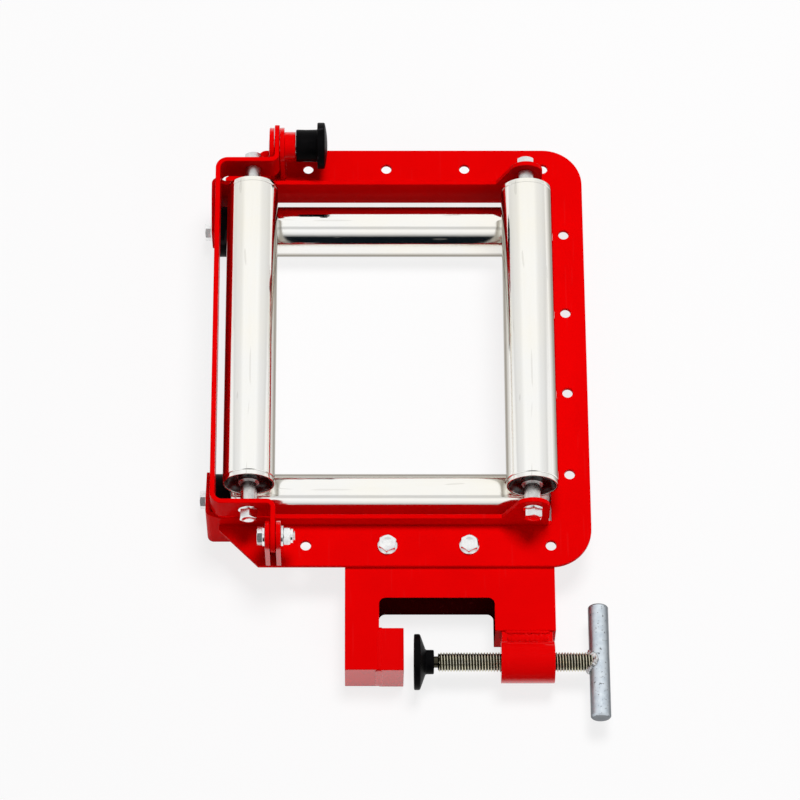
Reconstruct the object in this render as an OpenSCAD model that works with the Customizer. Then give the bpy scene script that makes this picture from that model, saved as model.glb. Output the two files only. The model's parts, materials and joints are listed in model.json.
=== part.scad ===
// Four-roller guide frame with a hinged gate and a screw clamp.
// Origin: centre of the four corner holes, on the top face of the face plate.
// X runs along the horizontal rollers, Y along the vertical ones, Z out of the plate.

/* [Face plate] */
// Thickness of the plate, flanges, ears and lugs
sheet_t = 3; // [2.5:0.5:3.5]
// Half the height of the window
window_half_h = 118.3; // [110:0.5:126]
// Distance from the origin to the right edge of the window
window_right = 75.6; // [73.6:0.5:79.6]
// Width of the strips above and below the window
strip_w = 27.4; // [26.4:0.5:31.4]
// Width of the column right of the window
column_w = 24.4; // [22.4:0.5:30.4]
// Radius of the two right corners
plate_corner_r = 25; // [15:1:30]
// Size of the chamfer at the lower left corner
plate_chamfer = 24; // [16:1:26]
// How far the plate's lower left tip lies inside the ears
left_setback = 8.2; // [5.2:0.5:12.2]
// How far the plate's upper left edge lies inside the ears
upper_setback = 29.2; // [24.2:0.5:32.2]
// Radius of the upper left corner
plate_upper_r = 5; // [2:1:8]
// Height of the plate's upper left tail, from the window
tail_h = 7.5; // [5.5:0.5:9]
// Height at which the tail meets the upper left edge, from the window
tail_root_h = 19; // [15:0.5:20]

/* [Mounting holes] */
// Radius of every mounting hole
hole_r = 3.25; // [2.75:0.25:3.5]
// Pitch along the top and bottom rows
row_pitch = 50; // [46:1:52]
// Distance from each row to the plate's edge
row_inset = 13.7; // [11.7:0.5:14.7]
// Pitch along the right column
column_pitch = 56; // [48:1:60]
// Distance from the right column to the plate's edge
column_inset = 12.5; // [10.5:0.5:14]

/* [Flange bars] */
// Height of the long bars above the plate's top face
flange_top = 9.5; // [8:0.5:11]
// Depth of the long bars below the plate's top face
flange_depth = 15; // [13:0.5:20]
// Outer radius of the bend into each left ear
bend_r = 4; // [4:0.5:6]
// Distance from the origin to the outer face of the left ears
ear_outer = 136.2; // [130.2:0.5:146.2]
// Radius round the axle in each ear
ear_r = 10.5; // [9:0.5:11]
// Length of the slope up to each right ear, measured from the axle
slope_run = 18.4; // [16.4:0.5:22.4]
// Length of the deep stretch beside each bend
deep_run = 18; // [12:1:24]
// Height of each left ear and its bend above the plate's top face
ear_top = 13.5; // [11.5:0.5:13.5]
// Height of each left ear at the axle's far side
ear_shoulder = 2.5; // [0:0.5:4]
// Length of the slope from the deep stretch to the long bar
deep_slope = 10; // [6:1:16]

/* [Rollers] */
// Outer diameter of the roller tubes
roller_d = 32; // [30:0.5:34]
// Wall of the roller tubes
roller_wall = 1.5; // [1.2:0.1:1.7]
// Rounding of the tube ends
roller_edge_r = 0.7; // [0.3:0.1:1]
// Height of the vertical roller axes above the plate
vertical_z = 24; // [23:0.5:26]
// Depth of the horizontal roller axes below the plate's top face
horizontal_depth = 15.4; // [14.4:0.5:16.4]
// Distance from the right roller's axis to the window's right edge
right_inset = 12.4; // [11.9:0.5:20.4]
// Gap between the left roller and the gate strap
left_gap = 4.4; // [2.4:0.5:8.4]
// Gap between each horizontal roller and its flange
flange_gap = 4.9; // [2.9:0.5:8.9]
// Bare spindle between a tube end and the flange
end_gap = 11.9; // [10:0.5:14]
// Gap between the spacers and the horizontal tubes
spacer_gap = 0.5; // [0.5:0.1:1]

/* [Bearings and spindles] */
// Diameter of the spindles
spindle_d = 10; // [9:0.5:10.5]
// Outer radius of the inner races
inner_race_r = 6.5; // [6.25:0.25:6.75]
// Width of the ball bearings
bearing_w = 8; // [7:0.5:9]
// Radius of the bearing balls
ball_r = 2; // [1.75:0.25:2.25]
// Number of balls in one bearing
ball_count = 8; // [6:1:9]
// Wall of the pressed end cups
cup_wall = 1.5; // [1.2:0.1:1.8]
// Depth of the dish in the end cups
dish_depth = 4.5; // [3:0.5:6]

/* [Bolts] */
// Diameter of the axle, hinge and clamp bolts
bolt_d = 6; // [5:0.5:6]
// Width of the bolt heads and nuts across flats
bolt_flats = 10; // [9:0.5:10]
// Radius of the bolt flanges
bolt_flange_r = 6.25; // [6:0.25:6.5]
// Height of the bolt heads with their flange
bolt_head_h = 4.7; // [4.2:0.1:5]
// Height of the bolt heads on the vertical spindles, with their flange
tall_head_h = 6.6; // [6:0.1:7]
// Thickness of the bolt flanges
bolt_flange_t = 1.4; // [1:0.1:1.8]
// Thread length of the axle bolts in the spindles
bolt_grip = 12; // [8:1:14]
// Thickness of the washers
washer_t = 1.6; // [1.2:0.2:2]
// Height of the nuts
nut_h = 6; // [5:0.5:6.5]

/* [Gate] */
// Thickness of the gate strap
strap_t = 3; // [2.5:0.25:3]
// Width of the gate strap
strap_w = 20; // [18:0.5:21]
// Gap between the planes of the strap's arms and the flange bars
strap_clear = 0.3; // [0.3:0.1:1.3]
// How much nearer the middle the strap's lower arm stands than its upper arm
strap_rise = 2.6; // [2:0.2:3]
// Gap between the strap's left leg and the ears
strap_gap = 0.2; // [0.2:0.1:0.6]
// Outer radius of the strap's two corners
strap_corner_r = 7.5; // [6:0.5:9]
// Inner radius of the bends into the strap's two eyes
eye_bend_r = 2.5; // [2:0.25:2.75]
// How far the middle of the lugs lies inside the ears
lug_setback = 41.7; // [40.7:0.5:44.7]
// Gap between the eyes and the fixed lugs
lug_gap = 0.3; // [0.3:0.1:0.5]
// Radius of the round top of the hinge lugs
hinge_lug_r = 9.2; // [8.7:0.25:9.2]
// Radius of the round top of the latch lugs
latch_lug_r = 11.5; // [10.5:0.25:11.5]
// How far the latch lugs stand past the plate's edge
latch_lug_past = 1.1; // [0:0.1:1.5]
// Shift of the latch eye's round end past the latch pin
latch_eye_past = 3.6; // [2.6:0.25:4.6]

/* [Latch] */
// Diameter of the latch pin
pin_d = 8; // [7:0.5:8.5]
// Diameter of the welded latch boss
latch_boss_d = 17.7; // [17:0.5:19]
// Length of the latch boss
latch_boss_l = 6.9; // [6:0.5:8]
// Diameter of the knob's grip
knob_d = 20.6; // [19:0.5:22]
// Length of the knob's grip
knob_grip_l = 13.5; // [13:0.5:15]
// Diameter of the knob's flange
knob_flange_d = 29.4; // [28:0.5:31]
// Thickness of the knob's flange
knob_flange_t = 6.4; // [5.4:0.5:7.4]
// Height of the dome on the knob
knob_dome_h = 1.8; // [1.2:0.1:2.4]
// Number of turns in the latch spring
spring_turns = 6; // [5:1:7]
// Wire diameter of the latch spring
spring_wire_d = 0.9; // [0.7:0.1:1]

/* [Clamp bracket] */
// Left side of the clamp bracket, from the origin
bracket_left = 51; // [46:1:58]
// Right side of the clamp bracket, from the origin
bracket_right = 77; // [71:0.5:82]
// Depth of the clamp bracket
bracket_h = 27; // [25:0.5:32]
// Wall of the clamp bracket
bracket_wall = 4; // [3.5:0.25:4.5]
// Gap between the bracket's upper edge and the flange bar
bracket_setback = 1.3; // [0.8:0.1:2.3]
// Width of the left leg
left_leg_w = 20.8; // [18.8:0.5:24.8]
// Width of the right leg
right_leg_w = 37; // [34:0.5:40]
// Length of the right leg past the plate's edge
right_leg_l = 41.3; // [38.3:0.5:46.3]
// Distance from the plate's edge to the notch
notch_setback = 19.8; // [16.8:0.5:22.8]
// How far the left leg runs past the screw's axis
leg_past_screw = 8.8; // [6.8:0.5:14.8]
// Clear way left and right of the plate's corner hole
corner_clear_x = 13; // [8:0.5:14]
// Clear way below the plate's corner hole
corner_clear_y = 9; // [7:0.5:11]
// Radius of the notch's upper corners
notch_corner_r = 4; // [3:0.5:6]

/* [Clamp screw] */
// Width of the jaw block
jaw_w = 14.9; // [13:0.5:15.5]
// Length of the jaw block
jaw_l = 27.6; // [26:0.5:29]
// Diameter of the clamp screw
screw_d = 12; // [11:0.5:12.5]
// Diameter of the welded clamp boss
clamp_boss_d = 26; // [25:0.5:27]
// Length of the clamp boss
clamp_boss_l = 32.7; // [31:0.5:34]
// Shift of the clamp boss from the middle of the right leg
boss_shift = 1.3; // [0:0.1:2]
// Depth of the screw's axis below the plate's top face
screw_depth = 12.5; // [12:0.5:14]
// Gap between the boss and the right leg, filled by the boss's foot
boss_gap = 3.8; // [2:0.2:5]
// How far the jaw's end stands past the left leg
jaw_past = 0.3; // [0:0.1:1]
// Gap between the jaw and the pad at rest
jaw_gap = 6.2; // [5:0.2:7]
// Diameter of the pad's face
pad_d = 34; // [31:0.5:34]
// Thickness of the pad's rim
pad_rim_t = 3.6; // [3:0.2:4]
// Length of the pad with its hub
pad_l = 12.1; // [12:0.1:13]
// Diameter of the pad's hub
pad_hub_d = 14.8; // [14.5:0.5:17]
// Diameter of the screw's neck
neck_d = 7; // [6:0.5:7.5]
// Free length of the screw's neck
neck_l = 2.4; // [2:0.2:3.2]
// Length of the screw's thread up to the T-bar
thread_l = 91.7; // [90:1:96]
// Diameter of the T-bar
tee_d = 12.4; // [11.5:0.5:13.5]
// Length of the T-bar
tee_l = 73; // [66:1:80]

/* [Fits] */
// Radial clearance of pins and the screw in their holes
running_fit = 0.08; // [0.05:0.01:0.1]
// Radial clearance of bolts in drilled holes
bolt_fit = 0.25; // [0.2:0.05:0.3]
// Smallest gap between faces that move past each other
face_gap = 0.3; // [0.3:0.05:0.5]

/* [Hidden] */
$fn = 64;
eps = 1; // how far a cut runs past the face it opens
plate_half_h = window_half_h + strip_w;
plate_right = window_right + column_w;
plate_left = ear_outer - left_setback;
plate_upper_left = ear_outer - upper_setback;
row_y = plate_half_h - row_inset;
column_x = plate_right - column_inset;
flange_inner = window_half_h - sheet_t;
hex_r = bolt_flats / 2 / cos(30);
roller_r = roller_d / 2;
tube_in_r = roller_r - roller_wall;
spindle_r = spindle_d / 2;
bolt_r = bolt_d / 2;
bolt_hole_r = bolt_r + bolt_fit;
ear_inner = ear_outer - sheet_t;
strap_left = ear_inner - strap_gap;
strap_half_h = window_half_h + strap_clear + strap_t;
right_x = window_right - right_inset;
left_x = strap_left - strap_t - left_gap - roller_r;
horizontal_y = flange_inner - flange_gap - roller_r;
slope_start = right_x - slope_run;
lug_x = ear_outer - lug_setback;
column_rows = [-1.5, -0.5, 0.5, 1.5];
row_columns = [-1.5, -0.5, 0.5, 1.5];
corner_hole_x = 1.5 * row_pitch;
clamp_bolt_x = 0.5 * row_pitch;

// roller axes: centre, axis direction as an Euler turn, tube length, spindle length
spindle_span = ear_inner + window_right;
horizontal_mid = (window_right - ear_inner) / 2;
vertical_tube = 2 * (flange_inner - end_gap);
horizontal_tube = spindle_span - 2 * end_gap;
strap_inner = strap_half_h - strap_t;
left_span = 2 * strap_inner - strap_rise;
left_mid = strap_rise / 2;
turn_y = [-90, 0, 0];
turn_x = [0, 90, 0];
right_axis = [[right_x, 0, vertical_z], turn_y];
left_axis = [[-left_x, left_mid, vertical_z], turn_y];
top_axis = [[horizontal_mid, horizontal_y, -horizontal_depth], turn_x];
bottom_axis = [[horizontal_mid, -horizontal_y, -horizontal_depth], turn_x];

// bearing, measured inwards from the tube's end
rim_recess = 0.8;
cup_gap = 0.5; // between the dish and the bearing
bearing_start = rim_recess + dish_depth + cup_gap;
bearing_end = bearing_start + bearing_w;
outer_race_r = tube_in_r - cup_wall;
race_gap = 0.6; // between the races, on each side of the pitch circle
groove_fit = 0.02; // between the balls and the outer race
pitch_inset = 0.75; // of the balls, from the middle between the races
cup_clear = 0.9; // round the inner race
ball_pitch_r = (outer_race_r + inner_race_r) / 2 - pitch_inset;
cup_hole_r = inner_race_r + cup_clear;
tap_past = 2; // depth of the tapped holes past the bolts

// bolts
head_dish_r = 9;
head_dish_t = 1; // depth of the dish in the flanged heads
hinge_dish_t = 0.8; // depth of the dish in the hinge bolt's head
bolt_past = 1; // thread past the nuts

// ears
slope_touch = [0.77, 0.64]; // where the slope meets the right ear, in ear radii
ear_top_w = 9; // straight stretch along the top of the left ears
ear_drop_run = 4; // slope from the bends down to the long bars

// strap and lugs
strap_z = vertical_z;
hinge_y = -(plate_half_h - hinge_lug_r);
latch_y = plate_half_h + latch_lug_past - latch_lug_r;
lug_inner = strap_t / 2 + lug_gap;
lug_outer = lug_inner + sheet_t;
eye_x = -lug_x - strap_t / 2;
hinge_head_x = -lug_x - lug_outer - washer_t;
hinge_nut_x = -lug_x + lug_outer + washer_t;

// latch, along +X from the right lug
boss_start = -lug_x + lug_outer;
boss_end = boss_start + latch_boss_l;
knob_start = boss_end + face_gap;
knob_flange_start = knob_start + knob_grip_l;
knob_end = knob_flange_start + knob_flange_t;
pin_r = pin_d / 2;
pin_past = 0.5; // how far the pin stands past the left lug
sleeve_wall = 2.2;
sleeve_cover = 3.2; // of the knob, past the sleeve
stem_cover = 0.8; // of the knob, past the pin's stem
sleeve_cap_t = 2;
chamber_wall = 0.7;
chamber_setback = 3;
stem_r = 2.5;
collar_t = 1.5;
spring_seat = 0.1; // gap at each end of the spring
pin_tip = -lug_x - lug_outer - pin_past;
sleeve_r = pin_r + sleeve_wall;
sleeve_end = knob_end - sleeve_cover;
chamber_r = sleeve_r - chamber_wall;
chamber_start = boss_start + chamber_setback;
collar_start = chamber_start + face_gap;
stem_end = knob_end - stem_cover;
spring_r = (chamber_r + stem_r) / 2;

// clamp
bracket_z = -sheet_t - bracket_h;
bracket_top = window_half_h + bracket_setback;
right_leg_end = plate_half_h + right_leg_l;
notch_left = bracket_left - left_leg_w;
notch_right = bracket_right - right_leg_w;
notch_top = plate_half_h + notch_setback;
jaw_start = -notch_left;
pad_face = jaw_start + jaw_w + jaw_gap;
pad_end = pad_face + pad_l;
thread_start = pad_end + neck_l;
tee_x = thread_start + thread_l + tee_d / 2;
clamp_boss_r = clamp_boss_d / 2;
clamp_boss_x = bracket_right - right_leg_w / 2 + boss_shift;
screw_y = -right_leg_end - boss_gap - clamp_boss_r;
screw_z = -screw_depth;
left_leg_end = leg_past_screw - screw_y;
screw_r = screw_d / 2;
neck_r = neck_d / 2;
ball_shoulder = 1.1; // of the ball end, past the neck
ball_depth = 5.1; // of the ball end's middle, inside the pad
ball_end_r = neck_r + ball_shoulder;
ball_end_x = pad_end - ball_depth;
pad_cone_l = 3.5;
tee_chamfer = 1;
foot_h = 16.12; // of the foot between the boss and the right leg
foot_setback = 2; // of the foot, inside the right leg's outer wall

zinc = [0.82, 0.81, 0.74];
red = [0.85, 0.03, 0.03];
black = [0.06, 0.06, 0.07];
steel = [0.65, 0.66, 0.68];
grey_zinc = [0.55, 0.6, 0.64];

// ---- shared shapes ----

// A cylinder between two heights
module drum(r, z0, z1) {
    translate([0, 0, z0]) cylinder(h = z1 - z0, r = r);
}

// A ring between two heights
module ring(outer_r, inner_r, z0, z1) {
    difference() {
        drum(outer_r, z0, z1);
        drum(inner_r, z0 - eps, z1 + eps);
    }
}

// Children drawn along Z, laid along +X from the origin
module along_x() {
    rotate([0, 90, 0]) children();
}

// Children of an outline in Y and Z, given thickness from x0 to x1
module sheet_yz(x0, x1) {
    translate([x0, 0, 0]) rotate([90, 0, 90]) linear_extrude(x1 - x0) children();
}

// Children of an outline in X and Z, given thickness from y0 up to y1
module sheet_xz(y0, y1) {
    translate([0, y1, 0]) rotate([90, 0, 0]) linear_extrude(y1 - y0) children();
}

// Quarter of a bent sheet, centred on the bend, in the quadrant +X +Y
module bend(inner_r, thickness, z0, z1) {
    translate([0, 0, z0])
        rotate_extrude(angle = 90)
            translate([inner_r, 0]) square([thickness, z1 - z0]);
}

// Flanged hex bolt with a dished head; the flange sits on z = 0 and the shank points down
module flange_bolt(shank, head_h) {
    difference() {
        union() {
            drum(bolt_flange_r, 0, bolt_flange_t);
            cylinder(h = head_h, r = hex_r, $fn = 6);
            drum(bolt_r, -shank, bolt_flange_t);
        }
        translate([0, 0, head_h + head_dish_r - head_dish_t]) sphere(r = head_dish_r);
    }
}

// Plain hex nut from z = 0 up
module hex_nut(height) {
    difference() {
        cylinder(h = height, r = hex_r, $fn = 6);
        drum(bolt_r, -eps, height + eps);
    }
}

// Children drawn along Z round the origin, moved to a roller's axis
module at_axis(axis) {
    translate(axis[0]) rotate(axis[1]) children();
}

// Children at both ends of a length, each with +Z pointing outwards
module both_ends(length) {
    for (side = [0, 180]) {
        rotate([side, 0, 0]) translate([0, 0, length / 2]) children();
    }
}

// ---- roller pieces, drawn along Z ----

module tube(length) {
    rotate_extrude() translate([tube_in_r, 0]) {
        e = roller_edge_r;
        half = length / 2;
        w = roller_wall;
        difference() {
            translate([0, -half]) square([w, length]);
            for (side = [-1, 1]) {
                translate([w - e, side * (half - e) - (side < 0 ? e + eps : 0)]) square([e + eps, e + eps]);
            }
        }
        for (side = [-1, 1]) {
            translate([w - e, side * (half - e)]) circle(r = e);
        }
    }
}

// Pressed cup at one end; the tube's end is z = 0
module cup() {
    rotate_extrude() polygon([
        [tube_in_r, -rim_recess], [tube_in_r, -bearing_end], [outer_race_r, -bearing_end],
        [outer_race_r, -bearing_start], [cup_hole_r, -bearing_start],
        [cup_hole_r, -rim_recess - dish_depth], [outer_race_r, -rim_recess]
    ]);
}

module outer_race() {
    difference() {
        ring(outer_race_r, ball_pitch_r + race_gap, -bearing_end, -bearing_start);
        ball_groove(ball_r + groove_fit);
    }
}

module inner_race() {
    difference() {
        union() {
            ring(ball_pitch_r - race_gap, spindle_r, -bearing_end, -bearing_start);
            ring(inner_race_r, spindle_r, -bearing_start - eps, -rim_recess);
        }
        ball_groove(ball_r + face_gap);
    }
}

module ball_groove(r) {
    rotate_extrude()
        translate([ball_pitch_r, -(bearing_start + bearing_end) / 2]) circle(r = r);
}

module balls() {
    for (k = [0 : ball_count - 1]) {
        rotate(k * 360 / ball_count)
            translate([ball_pitch_r, 0, -(bearing_start + bearing_end) / 2]) sphere(r = ball_r);
    }
}

module spindle(length) {
    difference() {
        drum(spindle_r, -length / 2, length / 2);
        both_ends(length) drum(bolt_r, -bolt_grip - tap_past, eps);
    }
}

// Two axle bolts; plate_t is what lies between head and spindle
module axle_bolts(length, plate_t, head_h) {
    both_ends(length) translate([0, 0, plate_t]) flange_bolt(plate_t + bolt_grip, head_h);
}

module roller_tube(axis, length) {
    color(zinc) at_axis(axis) tube(length);
}

module end_cups(axis, length) {
    color(steel) at_axis(axis) both_ends(length) cup();
}

module outer_races(axis, length) {
    color(steel) at_axis(axis) both_ends(length) outer_race();
}

module inner_races(axis, length) {
    color(steel) at_axis(axis) both_ends(length) inner_race();
}

module bearing_balls(axis, length) {
    color(steel) at_axis(axis) both_ends(length) balls();
}

module roller_spindle(axis, length) {
    color(steel) at_axis(axis) spindle(length);
}

module roller_bolts(axis, length, plate_t, head_h) {
    color(zinc) at_axis(axis) axle_bolts(length, plate_t, head_h);
}

// ---- frame ----

module plate_outline() {
    difference() {
        union() {
            translate([-plate_left, -plate_half_h])
                square([plate_left + plate_right - plate_corner_r, 2 * plate_half_h]);
            translate([0, -plate_half_h + plate_corner_r])
                square([plate_right, 2 * (plate_half_h - plate_corner_r)]);
            for (side = [-1, 1]) {
                translate([plate_right - plate_corner_r, side * (plate_half_h - plate_corner_r)])
                    circle(r = plate_corner_r);
            }
        }
        translate([-plate_left - eps, -window_half_h])
            square([plate_left + window_right + eps, 2 * window_half_h]);
        // lower left chamfer
        polygon([
            [-plate_left - eps, -plate_half_h - eps],
            [-plate_left - eps, -plate_half_h + plate_chamfer + eps],
            [-plate_left + plate_chamfer + eps, -plate_half_h - eps]
        ]);
        // upper left corner
        polygon([
            [-plate_left - eps, window_half_h + tail_h], [-plate_left, window_half_h + tail_h],
            [-plate_upper_left, window_half_h + tail_root_h], [-plate_upper_left, plate_half_h + eps],
            [-plate_left - eps, plate_half_h + eps]
        ]);
        translate([-plate_upper_left - eps, plate_half_h - plate_upper_r])
            square([plate_upper_r + eps, plate_upper_r + eps]);
    }
    translate([-plate_upper_left + plate_upper_r, plate_half_h - plate_upper_r]) circle(r = plate_upper_r);
}

module face_plate() {
    color(red) difference() {
        translate([0, 0, -sheet_t]) linear_extrude(sheet_t) plate_outline();
        for (k = row_columns, side = [-1, 1]) {
            translate([k * row_pitch, side * row_y, 0]) drum(hole_r, -sheet_t - eps, eps);
        }
        for (k = column_rows) {
            translate([column_x, k * column_pitch, 0]) drum(hole_r, -sheet_t - eps, eps);
        }
    }
}

// Outline of a long flange bar in X and Z, from the bend to the right ear
module flange_outline() {
    bend_x = -ear_outer + bend_r;
    ear_bottom = -horizontal_depth - ear_r;
    ear_tip = right_x + ear_r;
    step_x = bend_x + deep_run;
    polygon([
        [bend_x, ear_bottom], [step_x, ear_bottom], [step_x + deep_slope, -flange_depth],
        [window_right, -flange_depth], [window_right, 0], [ear_tip, 0], [ear_tip, vertical_z],
        [right_x, vertical_z],
        [right_x - ear_r * slope_touch[0], vertical_z + ear_r * slope_touch[1]], [slope_start, flange_top],
        [bend_x + ear_drop_run, flange_top], [bend_x, ear_top]
    ]);
    translate([right_x, vertical_z]) circle(r = ear_r);
}

// Outline of a left ear in Y and Z, with the axle at the lower end
module ear_outline() {
    bend_y = window_half_h - bend_r;
    difference() {
        union() {
            polygon([
                [bend_y, -horizontal_depth - ear_r], [bend_y, ear_top], [bend_y - ear_top_w, ear_top],
                [horizontal_y - ear_r, ear_shoulder], [horizontal_y - ear_r, -horizontal_depth],
                [horizontal_y, -horizontal_depth - ear_r]
            ]);
            translate([horizontal_y, -horizontal_depth]) circle(r = ear_r);
        }
        translate([horizontal_y, -horizontal_depth]) circle(r = bolt_hole_r);
    }
}

module flange_bar() {
    ear_bottom = -horizontal_depth - ear_r;
    difference() {
        sheet_xz(flange_inner, window_half_h) flange_outline();
        translate([right_x, flange_inner - eps, vertical_z])
            rotate([-90, 0, 0]) drum(bolt_hole_r, 0, sheet_t + 2 * eps);
    }
    translate([-ear_outer + bend_r, window_half_h - bend_r, 0])
        mirror([1, 0, 0]) bend(bend_r - sheet_t, sheet_t, ear_bottom, ear_top);
    sheet_yz(-ear_outer, -ear_inner) ear_outline();
}

module top_flange() {
    color(red) flange_bar();
}

module bottom_flange() {
    color(red) mirror([0, 1, 0]) flange_bar();
}

// Spacers round the horizontal spindles, between the left ears and the tubes
module ear_spacers() {
    color(black) for (side = [-1, 1]) {
        translate([-ear_inner, side * horizontal_y, -horizontal_depth])
            along_x() ring(roller_r, spindle_r + running_fit, 0, end_gap - spacer_gap);
    }
}

// Bar under the right edge of the window, which carries the horizontal spindles
module side_flange() {
    bottom = -horizontal_depth - ear_r;
    color(red) difference() {
        sheet_yz(window_right, window_right + sheet_t)
            translate([-flange_inner, bottom]) square([2 * flange_inner, -sheet_t - bottom]);
        for (side = [-1, 1]) {
            translate([window_right, side * horizontal_y, -horizontal_depth])
                along_x() drum(bolt_hole_r, -eps, sheet_t + eps);
        }
    }
}

// One upright lug with a round top, at y, from x0 in thickness sheet_t
module lug(x0, y, r, bore_r) {
    translate([x0, y, 0]) difference() {
        union() {
            sheet_yz(0, sheet_t) translate([-r, 0]) square([2 * r, strap_z]);
            translate([0, 0, strap_z]) along_x() drum(r, 0, sheet_t);
        }
        translate([0, 0, strap_z]) along_x() drum(bore_r, -eps, sheet_t + eps);
    }
}

module lug_pair(y, r, bore_r) {
    for (x0 = [-lug_x - lug_outer, -lug_x + lug_inner]) {
        lug(x0, y, r, bore_r);
    }
}

module hinge_lugs() {
    color(red) lug_pair(hinge_y, hinge_lug_r, bolt_r + running_fit);
}

module latch_lugs() {
    color(red) lug_pair(latch_y, latch_lug_r, pin_r + running_fit);
}

module at_latch() {
    translate([0, latch_y, strap_z]) along_x() children();
}

module latch_boss() {
    color(red) at_latch() ring(latch_boss_d / 2, sleeve_r, boss_start, boss_end);
}

module plunger_sleeve() {
    color(steel) at_latch() difference() {
        drum(sleeve_r, boss_start, sleeve_end);
        drum(pin_r + running_fit, boss_start - eps, chamber_start + eps);
        drum(chamber_r, chamber_start, sleeve_end - sleeve_cap_t);
        drum(stem_r + running_fit, boss_start, sleeve_end + eps);
    }
}

// Point on the coil at turn angle a
function coil_point(a, r, z) = [r * cos(a), r * sin(a), z];

// Compression spring from z0 to z1 as one unbroken wire
module coil_spring(r, wire_d, z0, z1, turns) {
    per_turn = 16;
    sides = 6;
    steps = per_turn * turns;
    pitch = (z1 - z0 - wire_d) / turns;
    points = [
        for (i = [0 : steps], j = [0 : sides - 1])
            let (
                a = i * 360 / per_turn,
                b = j * 360 / sides,
                z = z0 + wire_d / 2 + pitch * i / per_turn
            )
            coil_point(a, r + wire_d / 2 * cos(b), z + wire_d / 2 * sin(b))
    ];
    walls = [
        for (i = [0 : steps - 1], j = [0 : sides - 1])
            let (k = (j + 1) % sides)
            each [
                [i * sides + j, i * sides + k, (i + 1) * sides + k],
                [i * sides + j, (i + 1) * sides + k, (i + 1) * sides + j]
            ]
    ];
    last = steps * sides;
    caps = [
        for (j = [1 : sides - 2])
            each [[0, j + 1, j], [last, last + j, last + j + 1]]
    ];
    polyhedron(points, concat(walls, caps));
}

module plunger_spring() {
    color(steel) at_latch() coil_spring(
        spring_r, spring_wire_d, collar_start + collar_t + spring_seat,
        sleeve_end - sleeve_cap_t - spring_seat, spring_turns
    );
}

// ---- clamp on the frame ----

module bracket_outline() {
    difference() {
        polygon([
            [-bracket_left, -bracket_top], [bracket_cut_x(), -bracket_top],
            [bracket_cut_x(), -bracket_cut_y()], [bracket_right, -bracket_cut_y()],
            [bracket_right, -right_leg_end], [notch_right, -right_leg_end],
            [notch_right, -notch_top - notch_corner_r], [-notch_left, -notch_top - notch_corner_r],
            [-notch_left, -left_leg_end], [-bracket_left, -left_leg_end]
        ]);
        notch_head();
    }
}

// The corner hole keeps a clear way past the bracket
function bracket_cut_x() = corner_hole_x - corner_clear_x;
function bracket_cut_y() = row_y + corner_clear_y;

// Upper end of the notch with its two round corners
module notch_head() {
    r = notch_corner_r;
    translate([-notch_left, -notch_top - r - eps]) square([notch_left + notch_right, eps]);
    translate([-notch_left + r, -notch_top - r]) square([notch_left + notch_right - 2 * r, r]);
    for (x = [-notch_left + r, notch_right - r]) {
        translate([x, -notch_top - r]) circle(r = r);
    }
}

// Space inside the folded walls, open below
module bracket_pocket() {
    w = bracket_wall;
    upper_end = notch_top - w;
    translate([-bracket_left + w, -upper_end])
        square([bracket_left + bracket_cut_x() - 2 * w, upper_end - bracket_top - w]);
    translate([-bracket_left + w, -upper_end])
        square([bracket_left + bracket_right - 2 * w, upper_end - bracket_cut_y() - w]);
    translate([-bracket_left + w, -left_leg_end + w])
        square([bracket_left - notch_left - 2 * w, left_leg_end - upper_end]);
    translate([notch_right + w, -right_leg_end + w])
        square([bracket_right - notch_right - 2 * w, right_leg_end - upper_end]);
}

module clamp_bracket() {
    color(red) difference() {
        translate([0, 0, bracket_z]) linear_extrude(bracket_h) bracket_outline();
        translate([0, 0, bracket_z - bracket_wall]) linear_extrude(bracket_h) bracket_pocket();
        for (side = [-1, 1]) {
            translate([side * clamp_bolt_x, -row_y, 0])
                drum(bolt_hole_r, -sheet_t - bracket_wall - eps, eps);
        }
    }
}

module clamp_jaw() {
    color(red) translate([jaw_start, -left_leg_end - jaw_past, bracket_z]) cube([jaw_w, jaw_l, bracket_h]);
}

module at_screw() {
    translate([0, screw_y, screw_z]) along_x() children();
}

module clamp_boss() {
    half = clamp_boss_l / 2;
    web_x = notch_right + bracket_wall;
    color(red) difference() {
        union() {
            at_screw() drum(clamp_boss_r, clamp_boss_x - half, clamp_boss_x + half);
            // foot that fills the space up to the leg's lower edge
            translate([web_x, screw_y, screw_z - foot_h / 2])
                cube([bracket_right - web_x - foot_setback, -right_leg_end - screw_y, foot_h]);
        }
        at_screw() drum(screw_r + running_fit, clamp_boss_x - half - eps, clamp_boss_x + half + eps);
    }
}

module clamp_bolts() {
    color(zinc) for (side = [-1, 1]) {
        translate([side * clamp_bolt_x, -row_y, 0])
            flange_bolt(clamp_stack() + nut_h + bolt_past, bolt_head_h);
    }
}

// From the plate's top face to the lower face of the washers
function clamp_stack() = sheet_t + bracket_wall + washer_t;

module clamp_washers() {
    color(zinc) for (side = [-1, 1]) {
        translate([side * clamp_bolt_x, -row_y, 0])
            ring(bolt_flange_r, bolt_hole_r, -clamp_stack(), -clamp_stack() + washer_t);
    }
}

module clamp_nuts() {
    color(zinc) for (side = [-1, 1]) {
        translate([side * clamp_bolt_x, -row_y, -clamp_stack() - nut_h]) hex_nut(nut_h);
    }
}

// ---- hinge ----

module at_hinge() {
    translate([0, hinge_y, strap_z]) along_x() children();
}

module hinge_bolt() {
    color(zinc) at_hinge() {
        translate([0, 0, hinge_head_x - bolt_head_h + bolt_flange_t]) difference() {
            cylinder(h = bolt_head_h - bolt_flange_t, r = hex_r, $fn = 6);
            translate([0, 0, hinge_dish_t - head_dish_r]) sphere(r = head_dish_r);
        }
        drum(bolt_r, hinge_head_x - eps, hinge_nut_x + nut_h + bolt_past);
    }
}

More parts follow.
